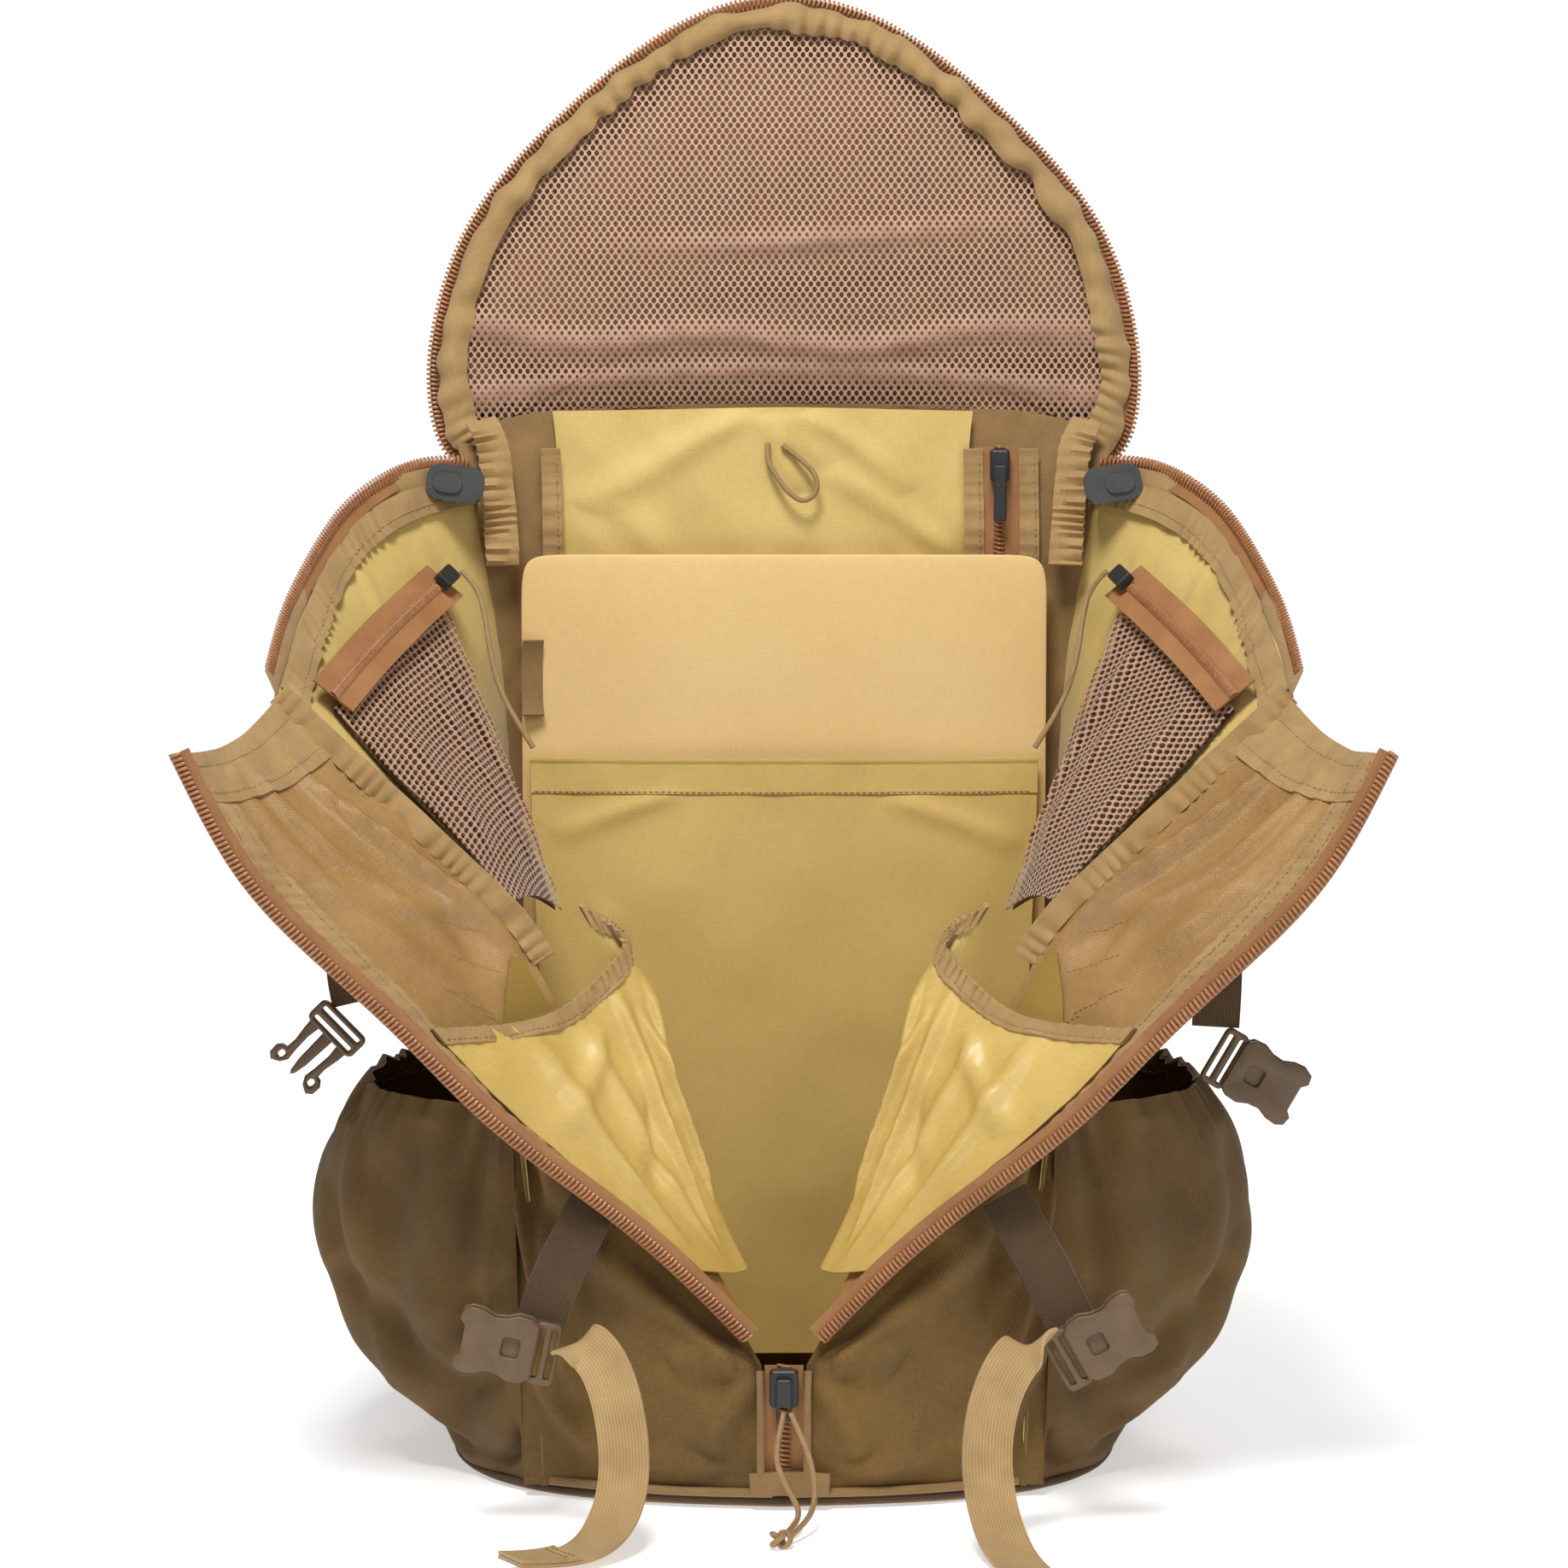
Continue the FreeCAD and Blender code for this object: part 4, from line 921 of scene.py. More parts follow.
def mesh_finish(name, dark, light, pitch):
    """Air mesh: a lattice of oval holes, the nearer of two offset rectangular lattices, cut by alpha,
    with the knitted threads rounded between them. The fold attribute closes the holes where the mesh
    lies double or creased, and darkens it there: the denser doubled mesh, and painted shade in the creases.
    The threads are also painted darker towards the holes, as painted shade of their rounding."""
    material, start = new_finish(name)
    uv, u, v = start.across_cloth()
    x = u * (1.0 / pitch)
    y = v * (1.0 / (pitch * 1.42))
    reach = None
    for offset in (0.0, 0.5):
        a = (x + offset).math("FRACT") - 0.5
        b = ((y + offset).math("FRACT") - 0.5) * 1.15
        gap = (a * a + b * b).math("SQRT")
        reach = gap if reach is None else reach.math("MINIMUM", gap)
    fold = start.add("Attribute", {"attribute_name": "fold"}, {}, 2)
    uneven = start.clouds(start.place(), 0.012, 2.0)
    hole = 0.275 + uneven * 0.05 - fold * 0.20
    solid = start.add("MapRange", {"interpolation_type": "SMOOTHSTEP"},
                      {0: reach, 1: hole - 0.035, 2: hole + 0.035, 3: 0.0, 4: 1.0})
    thread = start.clouds(uv, 0.0009, 1.0, (1.0, 2.6, 1.0))
    # Colour: thread tone and random unevenness, with painted shade towards the holes and in the folds.
    share = thread * 0.6 + uneven * 0.4 - fold * 0.25 + (reach - 0.3) * 0.9
    end_finish(start, share.clamped().blended(dark, light), 0.62, reach * 0.7 + thread * 0.3, 0.0012, 0.8,
               Alpha=solid, Sheen_Weight=0.4, Sheen_Roughness=0.4)
    return material


rose_mesh = mesh_finish("rose_mesh", (0.20, 0.082, 0.040), (0.72, 0.45, 0.32), 0.0043)
ring_shares = np.linspace(0, 1, 70)
shell_rings = lid_rings(0.985 * ring_shares, -0.004 - 0.026 * (1.0 - ring_shares ** 3.0), 0.003)
shell_slack = folded(shell_rings, 61, 0.12) * 0.0012 * (1 - ring_shares[:, None] ** 4)
seam_ridge = 0.0016 * np.exp(-((ring_shares - 0.82) / 0.012) ** 2)[:, None]
lid_cloth = ring_cloth("lid_cloth", shell_rings, 0.0016, tan_cloth, shell_slack - seam_ridge, "lid")
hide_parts("lid_shell")
lining_rings = lid_rings(0.93 * ring_shares, -0.005 - 0.004 * (1.0 - ring_shares ** 4.0), 0.006)
lining_slack = folded(lining_rings, 62, 0.10) * 0.0022 * (1 - ring_shares[:, None] ** 6)
ring_cloth("lid_lining", lining_rings, 0.0008, coated_brown, lining_slack, "lid")

mesh_rings = lid_rings(0.925 * np.linspace(0, 1, 90), 0.001 + 0.009 * (1.0 - np.linspace(0, 1, 90) ** 3),
                       -0.002, 0.014)


def lid_folds(x, z):
    """Three slack folds of the mesh at heights that bow with x: ridges exp(-(distance / width) ** 2)."""
    sweep = (x / 0.16) ** 2
    low = np.exp(-((z - 0.052 - 0.006 * sweep + 0.004 * np.sin(x * 40)) / 0.0075) ** 2)
    high = np.exp(-((z - 0.108 - 0.010 * sweep - 0.05 * x) / 0.0065) ** 2)
    hem = np.exp(-((z - 0.024 - 0.012 * (1 - sweep)) / 0.006) ** 2)
    return low, high * np.clip(1.1 - np.abs(x - 0.02) / 0.13, 0, 1), hem


low_fold, high_fold, hem_fold = lid_folds(mesh_rings[..., 0], mesh_rings[..., 2] - lid_hinge[1])
mesh_slack = 0.0045 * low_fold + 0.004 * high_fold + 0.002 * hem_fold + folded(mesh_rings, 63, 0.09) * 0.0010
lid_mesh = ring_cloth("lid_mesh", mesh_rings, 0.0009, rose_mesh, mesh_slack, "lid")
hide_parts("lid_mesh_pocket")


def mark_folds(piece, function):
    """Writes the fold attribute: the function's value at each point of the finished mesh."""
    values = function(mesh_points(piece.data)).astype(np.float32)
    piece.data.attributes.new("fold", "FLOAT", "POINT").data.foreach_set("value", values)


def lid_fold_value(place):
    """How far a point of the lid's mesh lies on a fold, from 0 to 1."""
    low, high, hem = lid_folds(place[:, 0], place[:, 2] - lid_hinge[1])
    return np.clip(0.85 * low + 0.75 * high + 0.9 * hem, 0, 1)


mark_folds(lid_mesh, lid_fold_value)
around = np.linspace(0.012, 0.988, 620)
binding = np.stack([lid_edge(around, scale, forward) for scale, forward in
                    ((0.895, 0.0060), (0.915, 0.0085), (0.935, 0.0095), (0.955, 0.0085),
                     (0.972, 0.006), (0.980, 0.003))], axis=1)
d, a = shares(binding)
pucker = np.clip(0.5 + ripple(binding, 64, 0.12), 0.2, 1.3)
gather = (np.sin(d * 300 + 6 * np.sin(d * 21)) * 0.0013 * (1.15 - a) * pucker
          + ripple(binding, 65, 0.028) * 0.0014)
binding = binding + np.array((1.0, 0, 1.0)) * (ripple(binding, 66, 0.05) * 0.0012 * (1 - a))[..., None]
lid_binding = cloth_shell("lid_binding_tape", binding, 0.0012, binding_tape, gather)
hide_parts("lid_binding")
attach(lid_binding, "lid")
tracks = [(binding, gather, (slice(None), 3)), (binding, gather, (slice(None), 1))]
grid_stitches("lid_binding_stitches", tracks, "lid", 0.0008)
lid_rim = evenly(lid_edge(np.linspace(0, 1, 900), 0.996, -0.001), tooth_pitch)
outwards = unit((lid_rim - (0.0, 0.0, lid_hinge[1] + lid_middle[1])) * (1.0, 0.0, 1.0))
lid_teeth = coil_teeth("lid_teeth", lid_rim, outwards, 0.0068, "lid", 0.0004)
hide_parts("lid_zip_chain")
zip_tape("lid_tape", lid_rim, outwards, 0.0085, "lid", -0.0022)
rim_strip = np.stack([lid_edge(around, scale, forward) for scale, forward in
                      ((0.975, 0.0), (0.99, -0.001), (0.992, -0.004), (0.985, -0.007))], axis=1)
strip = cloth_shell("lid_rim_strip", rim_strip, 0.0010, copper_tape)
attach(strip, "lid")

# Lid hinge: a strip of pack cloth from the top of the back panel to the foot of the lid, and at each
# end a gathered gusset.
hinge_rows = [[(x, 131, 536), (x, 130, 545), (x * 1.01, 129, 551), (x * 1.02, 128.5, 558),
               (x * 1.02, 128.5, 565)] for x in np.linspace(-158, 158, 9)]
hinge_grid = cloth_grid(hinge_rows, 90, 14)
hinge = cloth_shell("lid_hinge_strip", hinge_grid, 0.0014, tan_cloth, folded(hinge_grid, 71, 0.03) * 0.0006)
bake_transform(hinge)
for side_name, side in SIDES:
    gusset = smooth_line(mirrored([(170, 112, 556), (163, 106, 540), (160, 100, 520), (158, 97, 498),
                                   (157, 95, 476)], side), 0.0022)
    band = band_grid(gusset, (0.85 * side, -0.3, 0.15), 0.019, 7)
    d, a = shares(band)
    gather = np.sin(d * 90 + 3 * np.sin(d * 9)) * 0.0013 * (0.4 + a) + ripple(band, 72, 0.03) * 0.0013
    piece = cloth_shell(side_name + "_corner_binding", band, 0.0012, binding_tape, gather)
    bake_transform(piece)
    row = grid_stitches(side_name + "_corner_stitches", [(band, gather, (slice(None), 5))], None,
                        side * 0.0009)
    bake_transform(row)

# Back of the main room: a yellow zipped pocket panel at the top with bound sides, and in front of it
# the sleeve of yellow pack cloth with its folded hem and the stiff board that slides into it.
panel_rows = [[(-128, 122, z), (-60, 118, z), (0, 117, z), (60, 118, z), (104, 121, z)]
              for z in (425, 455, 485, 512, 540)]
panel_rows.append([(-130, 121, 561), (-60, 118, 562), (0, 117.5, 563), (60, 118, 562), (106, 121, 561)])
grid = cloth_grid(panel_rows, 90, 120)
down, across = shares(grid)
folds = creases(down, across, [(0.55, 0.05, 0.98, 0.42, 3.5, 0.05), (0.35, 0.95, 0.72, 0.60, 3.0, 0.045),
                               (0.98, 0.55, 0.62, 0.80, 3.0, 0.04), (0.15, 0.30, 0.60, 0.12, 2.0, 0.04),
                               (0.97, 0.48, 0.62, 0.52, 2.5, 0.035)])
slack = folds + folded(grid, 81, 0.09) * 0.0012
pocket_panel = cloth_shell("top_pocket_cloth", grid, 0.0008, yellow_lining, slack, 0.0008)
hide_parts("top_pocket_panel")
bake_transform(pocket_panel)
for label, x_middle in (("left", -131.0), ("middle", 106.0), ("right", 137.0)):
    edge = smooth_line([(x_middle, 119, 420), (x_middle + 1, 116.5, 480), (x_middle, 116, 540)], 0.0022)
    band = band_grid(edge, (1.0, 0, 0), 0.011, 6)
    d, a = shares(band)
    gather = np.sin(d * 100 + 3 * np.sin(d * 14)) * 0.0005 + ripple(band, 82, 0.03) * 0.0008
    piece = cloth_shell(label + "_panel_binding", band, 0.0012, binding_tape, gather, 0.0012)
    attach(piece, "pack")
    grid_stitches(label + "_panel_stitches", [(band, gather, (slice(None), 4))], "pack", 0.0022)

sleeve_sizes = ((34, 120, 70), (130, 128, 66), (250, 137, 72), (330, 141, 80), (368, 142, 84))
sleeve_rows = [[(-half, y + 8, z), (-half * 0.5, y + 1, z), (0, y, z), (half * 0.5, y + 1, z),
                (half, y + 8, z)] for z, half, y in sleeve_sizes]
sleeve_yellow = woven_finish("sleeve_yellow", (0.46, 0.295, 0.065), (0.78, 0.55, 0.175), 0.0006, 0.55, 0.16,
                             Sheen_Weight=0.25, Sheen_Roughness=0.35)
grid = cloth_grid(sleeve_rows, 150, 110)
down, across = shares(grid)
slack = (folded(grid, 83, 0.22) * 0.0020 + ripple(grid, 84, 0.07) * 0.0004
         + creases(down, across, [(0.72, 0.04, 0.86, 0.30, 2.2, 0.03), (0.70, 0.97, 0.84, 0.7, 2.2, 0.03),
                                  (0.35, 0.02, 0.6, 0.16, 2.4, 0.03), (0.3, 0.98, 0.55, 0.86, 2.4, 0.03)]))
sleeve = cloth_shell("sleeve_cloth", grid, 0.0012, sleeve_yellow, slack)
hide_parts("hydration_sleeve")
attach(sleeve, "pack")
hem = grid[-23:] + grid_normals(grid)[-23:] * (slack[-23:, :, None] + 0.0010)
hem_relief = np.where(shares(hem)[0] > 0.88, 0.0007, 0.0) + ripple(hem, 85, 0.03) * 0.0002
piece = cloth_shell("sleeve_hem", hem, 0.0010, sleeve_yellow, hem_relief)
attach(piece, "pack")
grid_stitches("sleeve_hem_stitches", [(hem, hem_relief, (1, slice(None)))], "pack", 0.0007)
tab_line = smooth_line([(-140, 91, 392), (-141, 95, 402), (-141, 95, 422), (-140, 92, 434)], 0.002)
side_tab = cloth_shell("sleeve_side_tab", band_grid(tab_line, (1.0, 0.3, 0), 0.012, 4), 0.0014, tan_cloth)
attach(side_tab, "pack")

board_cover = woven_finish("board_cover", (0.66, 0.415, 0.145), (0.92, 0.665, 0.30), 0.0006, 0.6, 0.12,
                           Sheen_Weight=0.2, Sheen_Roughness=0.4)


def pillow(name, half_x, z_low, z_high, y_near, y_far, corner, finish, rows=40, columns=60):
    """A flat stuffed form in the X-Z plane: its outline is a rounded rectangle drawn in to its middle, and
    its faces part by half its depth, as the fourth root of one less the fourth power of the way out."""
    angle = np.linspace(0, 2 * math.pi, 4 * columns, endpoint=False)
    power = 2.0 / corner
    sine, cosine = np.sin(angle), np.cos(angle)
    outline = np.stack([np.sign(cosine) * np.abs(cosine) ** power * half_x, np.zeros_like(angle),
                        np.sign(sine) * np.abs(sine) ** power * (z_high - z_low) / 2], -1)
    out = np.sin(np.linspace(0, math.pi, 2 * rows))
    side = np.sign(np.linspace(1, -1, 2 * rows))
    depth = side * (1.0 - out ** 4) ** 0.25 * (y_far - y_near) / 2
    grid = outline[None] * out[:, None, None]
    grid = grid + np.array((0, (y_near + y_far) / 2, (z_low + z_high) / 2))
    grid[..., 1] += depth[:, None]
    return new_piece(name, grid, [grid_faces(2 * rows, 4 * columns, True)], finish, grid[..., (0, 2)])


board = pillow("board_cloth", 0.147, 0.150, 0.4815, 0.0968, 0.1027, 26.0, board_cover)
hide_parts("sleeve_board")
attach(board, "board")

# Back pocket zip and mesh pocket zips: closed coils on copper tape, with small black sliders.



def moulded_finish(name, dark, light, rough):
    """Injection-moulded plastic: fine spark-eroded grain, rubbed lighter in places."""
    material, start = new_finish(name)
    grain = start.clouds(start.place(), 0.0009, 3.0)
    rubbed = start.clouds(start.place(), 0.011, 3.0)
    share = grain * 0.35 + rubbed * 0.75 - 0.15
    end_finish(start, share.blended(dark, light), rubbed * 0.22 + (rough - 0.1), grain, 0.00016, 0.6)
    return material


black_moulding = moulded_finish("black_moulding", (0.010, 0.010, 0.012), (0.036, 0.037, 0.040), 0.42)
grey_moulding = moulded_finish("grey_moulding", (0.036, 0.037, 0.038), (0.095, 0.096, 0.094), 0.5)
brown_moulding = moulded_finish("brown_moulding", (0.082, 0.046, 0.020), (0.20, 0.125, 0.060), 0.42)
back_zip = smooth_line([(121, 117, 420), (121, 116.5, 480), (121, 116.5, 541)], 0.002)
teeth = coil_teeth("back_zip_teeth", back_zip, (1.0, 0, 0), 0.0058, "pack")
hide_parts("inner_zip_chains")
zip_tape("back_zip_tape", back_zip, (1.0, 0, 0), 0.027, "pack")


def paint_node(node, finish):
    """Gives a CAD node's mesh a finish in place of its plain one."""
    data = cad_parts[node].data
    data.materials.clear()
    data.materials.append(finish)


paint_node("back_zip_slider", black_moulding)
# A dark brown copy of the lining: painted shade.
shaded_lining = woven_finish("shaded_lining", (0.060, 0.030, 0.010), (0.16, 0.088, 0.036), 0.0008, 0.85)
pocket_rows = [[(120, 20, 292), (124, 0, 298), (132, -42, 308), (141, -93, 312)],
               [(143, 30, 352), (146, 2, 352), (152, -40, 350), (168, -92, 345)],
               [(166, 44, 412), (176, 8, 402), (188, -38, 392), (204, -88, 381)],
               [(188, 55, 462), (203, 14, 447), (219, -34, 430), (233, -84, 412)]]
for side_name, side in SIDES:
    grid = cloth_grid(mirrored(pocket_rows, side), 120, 70)
    down, across = shares(grid)
    lines = [(0.10, 0.10, 0.95, 0.28, 3.0, 0.05), (0.05, 0.55, 0.80, 0.42, 2.5, 0.05),
             (0.2, 0.9, 0.9, 0.75, 2.5, 0.05)]
    slack = creases(down, across, lines) + folded(grid, 91, 0.08) * 0.0010
    slack *= np.clip(np.minimum(down, 1 - down) * 6, 0.1, 1)
    uvs = cloth_uv(grid) * (0.6, 1.0)
    angle = 0.5 * side
    turned = np.stack([uvs[..., 0] * math.cos(angle) - uvs[..., 1] * math.sin(angle),
                       uvs[..., 0] * math.sin(angle) + uvs[..., 1] * math.cos(angle)], -1)
    net = cloth_shell(side_name + "_mesh_net", grid, 0.0009, rose_mesh, side * slack, -side * 0.0008, turned)
    mark_folds(net, lambda place: np.zeros(len(place)))
    # A dark sheet just behind each mesh net: painted shade inside the pocket, seen through the holes.
    painted_shade_sheet = cloth_shell(side_name + "_net_backing", grid[1:-1, 1:-1], 0.0007, shaded_lining, 0.0,
                          -side * 0.0045)
    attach(painted_shade_sheet, "pack")
    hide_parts(side_name + "_mesh_pocket")
    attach(net, "pack")
    line = smooth_line(mirrored([(187, 62, 469), (202, 16, 455), (219, -34, 437), (234, -86, 418)], side),
                       0.002)
    across = (side * 0.75, 0.1, 0.66)
    coil_teeth(side_name + "_mesh_zip_teeth", line, across, 0.0055, "pack", 0.0, 0.0023, (-side, -0.6, 0.4))
    zip_tape(side_name + "_mesh_zip_tape", line, across, 0.026, "pack")
    paint_node(side_name + "_mesh_slider", black_moulding)

# Lid sliders and moulded pull tabs: a rounded shield of dark nylon with a raised oval thumb rest.
for side_name, side in SIDES:
    paint_node(side_name + "_pull_tab", grey_moulding)
paint_node("lid_sliders", black_moulding)

# Centre zip: the slider where the two flaps part, on the closed length of zip down to the base.
# Storm edges of pack cloth stand either side of it.
paint_node("centre_slider", black_moulding)
front_zip = smooth_line([(0, -133, 9), (0, -137, 35), (0, -138, 60), (0, -137.5, 76)], 0.002)
teeth = coil_teeth("front_zip_teeth", front_zip, (1.0, 0, 0), 0.0068, "pack")
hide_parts("front_zip_chain")
zip_tape("front_zip_tape", front_zip, (1.0, 0, 0), 0.020, "pack")
tab_line = smooth_line([(-17, -141.5, 14), (3, -142, 15), (23, -141.5, 14)], 0.002)
tab = cloth_shell("base_webbing_tab", band_grid(tab_line, (0, 0, 1.0), 0.012, 7, 0.0005), 0.0024, tan_cloth)
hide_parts("base_tab")
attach(tab, "pack")

# Front panels: padded tan cloth from the base up to the fold line, pulled into soft folds round
# the slider and the strap anchors.
# A darker copy of the tan pack cloth: painted shade for the front panels low under the flaps.
shaded_front_cloth = woven_finish("shaded_front_cloth", (0.036, 0.016, 0.0022), (0.27, 0.148, 0.030), 0.0009, 0.80, 0.06,
                           Sheen_Weight=0.03, Sheen_Roughness=0.5)
for side_name, side in SIDES:
    columns = []
    for share, foot, bulge in ((0.0, (11, -134, 6.8), 3.0), (0.22, (48, -129, 6.8), 13.0),
                               (0.55, (90, -120, 6.8), 16.0), (0.86, (119, -112, 6.8), 4.0),
                               (0.99, (135, -110.5, 6.8), 0.0)):
        head = fold_point(share) + (0, 1, -9)
        rise = np.linspace(0, 1, 5)[:, None]
        columns.append(np.array(foot) + (head - foot) * rise
                       - np.array((0, 1.0, 0)) * bulge * np.sin(math.pi * rise))
    grid = cloth_grid(mirrored(np.stack(columns, 1), side), 110, 110)
    down, across = shares(grid)
    lines = [(0.92, 0.03, 0.50, 0.34, 9.0, 0.045), (0.86, 0.03, 0.22, 0.22, 7.0, 0.050),
             (0.74, 0.12, 0.58, 0.62, 8.0, 0.045), (0.95, 0.40, 0.60, 0.52, 6.0, 0.04),
             (0.90, 0.66, 0.42, 0.74, 8.0, 0.045), (0.55, 0.95, 0.22, 0.58, 9.0, 0.05),
             (0.28, 0.98, 0.10, 0.50, 8.0, 0.045), (0.16, 0.1, 0.10, 0.6, 4.0, 0.04),
             (0.7, 0.9, 0.45, 0.55, -7.0, 0.06)]
    slack = creases(down, across, lines) + folded(grid, 101 if side < 0 else 102, 0.09) * 0.0036
    slack *= np.clip(np.minimum(down, 1 - down) * 8, 0.05, 1)
    cloth = cloth_shell(side_name + "_front_cloth", grid, 0.0018, shaded_front_cloth, side * slack, side * 0.0012)
    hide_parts(side_name + "_front_panel")
    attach(cloth, "pack")
    rim = smooth_line(mirrored([(12, -139, 8), (12, -143, 30), (12, -143.5, 55), (12.5, -141, 74)], side),
                      0.002)
    piece = tube(side_name + "_storm_edge", rim, 0.0021, tan_cloth, 8)
    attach(piece, "pack")
    hem_line = smooth_line(mirrored([(6, -138.5, 9), (50, -134.5, 9), (90, -125, 9), (122, -113, 9)], side),
                           0.002)
    piece = tube(side_name + "_base_piping", hem_line, 0.0024, tan_cloth, 8)
    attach(piece, "pack")

# Bottle pockets: stretch-woven cloth, baggy in the middle and drawn in at the mouth by an elastic
# hem, whose gathers fade out down the pocket.
# The pocket cloth in dark colours: painted shade for the low front of the pack.
shaded_stretch_cloth = woven_finish("shaded_stretch_cloth", (0.040, 0.018, 0.0026), (0.21, 0.114, 0.023), 0.0008, 0.80,
                             0.05, Sheen_Weight=0.03, Sheen_Roughness=0.5)
for side_name, side in SIDES:
    rows = []
    for z, bulge, tuck in ((6.2, 172, 1.0), (24, 190, 1.02), (52, 226, 1.04), (90, 246, 1.05),
                           (126, 254, 1.05), (170, 247, 1.04), (206, 224, 1.0)):
        seam_x = 134 + 5 * z / 206
        out = bulge - 161
        rows.append([(seam_x + 2, -109 * tuck, z), (seam_x + 0.42 * out, -98 * tuck, z),
                     (161 + 0.78 * out, -62, z), (bulge, -8, z), (161 + 0.90 * out, 52, z),
                     (161 + 0.48 * out, 96, z), (162, 118, z)])
    grid = cloth_grid(mirrored(rows, side), 120, 260)
    down, across = shares(grid)
    gathers = np.sin(across * 150 + 5 * np.sin(across * 17)) * 0.0016 + np.sin(across * 73 + 2) * 0.0016
    gathers = gathers * np.clip((down - 0.80) / 0.2, 0, 1) ** 1.5
    lines = [(0.98, 0.10, 0.45, 0.16, 8.0, 0.03), (0.95, 0.24, 0.35, 0.30, 10.0, 0.04),
             (0.9, 0.40, 0.30, 0.36, 8.0, 0.04), (0.46, 0.03, 0.20, 0.30, 11.0, 0.04),
             (0.34, 0.50, 0.06, 0.28, 11.0, 0.045), (0.66, 0.02, 0.42, 0.22, 9.0, 0.035),
             (0.26, 0.02, 0.05, 0.22, 9.0, 0.03), (0.8, 0.6, 0.3, 0.72, 8.0, 0.05),
             (0.5, 0.85, 0.15, 0.6, 8.0, 0.05), (0.60, 0.42, 0.30, 0.16, 8.0, 0.05)]
    slack = creases(down, across, lines) + folded(grid, 111 if side < 0 else 112, 0.10) * 0.0028 + gathers
    slack *= np.clip(np.minimum(np.minimum(down * 8, across * 12), (1 - across) * 12), 0.03, 1)
    pocket = cloth_shell(side_name + "_bottle_cloth", grid, 0.0018, shaded_stretch_cloth, -side * slack,
                         -side * 0.0012)
    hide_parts(side_name + "_bottle_pocket")
    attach(pocket, "pack")
    normals = grid_normals(grid)
    hem = grid[-9:, 1:-1] + normals[-9:, 1:-1] * (-side * (slack[-9:, 1:-1] + 0.0026))[..., None]
    hem_relief = -side * ripple(hem, 113, 0.02) * 0.0005
    piece = cloth_shell(side_name + "_bottle_hem", hem, 0.0014, shaded_stretch_cloth, hem_relief)
    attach(piece, "pack")
    grid_stitches(side_name + "_bottle_stitches", [(hem, hem_relief, (1, slice(None)))], "pack",
                  -side * 0.0009)

# Straps and buckles: 25 mm ribbed tan webbing through brown side-release buckles. The lower pair
# hang from the front panels and end in loose tails; the upper pair hang behind the flaps.
def webbing_finish(name, dark, light, rib):
    """Ribbed webbing: ridges along the strap, broken by the weft's fine steps, worn at random. The colour
    also follows the ridges' height, as painted shade between them.
    """
    material, start = new_finish(name)
    uv, u, v = start.across_cloth()
    ridge = (u * (math.pi / rib)).math("SINE").math("ABSOLUTE")
    step = (v * (2 * math.pi / 0.0009)).math("SINE") * 0.5 + 0.5
    worn = start.clouds(start.place(), 0.02, 3.0)
    height = ridge * 0.65 + step * 0.35
    # Colour: the ridges' height as painted shade between them, plus random wear.
    share = height * 0.45 + worn * 0.75 - 0.15
    end_finish(start, share.clamped().blended(dark, light), 0.7, height, 0.0006, 0.7,
               Sheen_Weight=0.2, Sheen_Roughness=0.4)
    return material


tan_webbing = webbing_finish("tan_webbing", (0.28, 0.165, 0.060), (0.66, 0.435, 0.185), 0.0016)
# The same webbing in darker colours: painted shade on the straps that run under the flaps.
shaded_webbing = webbing_finish("shaded_webbing", (0.034, 0.015, 0.003), (0.105, 0.055, 0.013), 0.0016)


def strap(name, route, ways, body, width=0.025, thickness=0.0019, finish=None):
    """Webbing carried along a smooth line through points; ways give its width's direction at each point."""
    points = np.array(route, float) * 0.001
    where = np.linspace(0, len(points) - 1, 30 * len(points))
    weights = spline_weights(len(points), where)
    line = weights @ points
    turned = weights @ np.array([ways] * len(points) if np.ndim(ways) == 1 else ways, float)
    _, wide, out = frames(line, turned)
    place = np.linspace(-0.5, 0.5, 9)
    curl = 0.0007 * (2 * place) ** 2 * ripple(line, 121, 0.05)[:, None]
    grid = line[:, None] + wide[:, None] * (place * width)[None, :, None] + out[:, None] * curl[..., None]
    piece = cloth_shell(name, grid, thickness, finish or tan_webbing)
    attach(piece, body)
    return grid


def extruded(name, outlines, depth, bevel=0.0011):
    """A moulded plate: outlines in the X-Z plane given a depth along Y, holes and all, as a filled flat
    curve with a round edge, made a mesh."""
    curve = bpy.data.curves.new(name, "CURVE")
    curve.dimensions = "2D"
    curve.fill_mode = "BOTH"
    curve.extrude = depth / 2 - bevel
    curve.bevel_depth = bevel
    curve.bevel_resolution = 2
    curve.offset = -bevel
    for outline in outlines:
        spline = curve.splines.new("POLY")
        spline.points.add(len(outline) - 1)
        flat = np.array(outline, float) * 0.001
        placed = np.column_stack([flat, np.zeros(len(flat)), np.ones(len(flat))])
        spline.points.foreach_set("co", placed.ravel())
        spline.use_cyclic_u = True
    holder = bpy.data.objects.new(name, curve)
    bpy.context.scene.collection.objects.link(holder)
    mesh = bpy.data.meshes.new_from_object(holder)
    bpy.data.objects.remove(holder)
    faces = [list(polygon.vertices) for polygon in mesh.polygons]
    return mesh_points(mesh)[:, (0, 2, 1)], faces


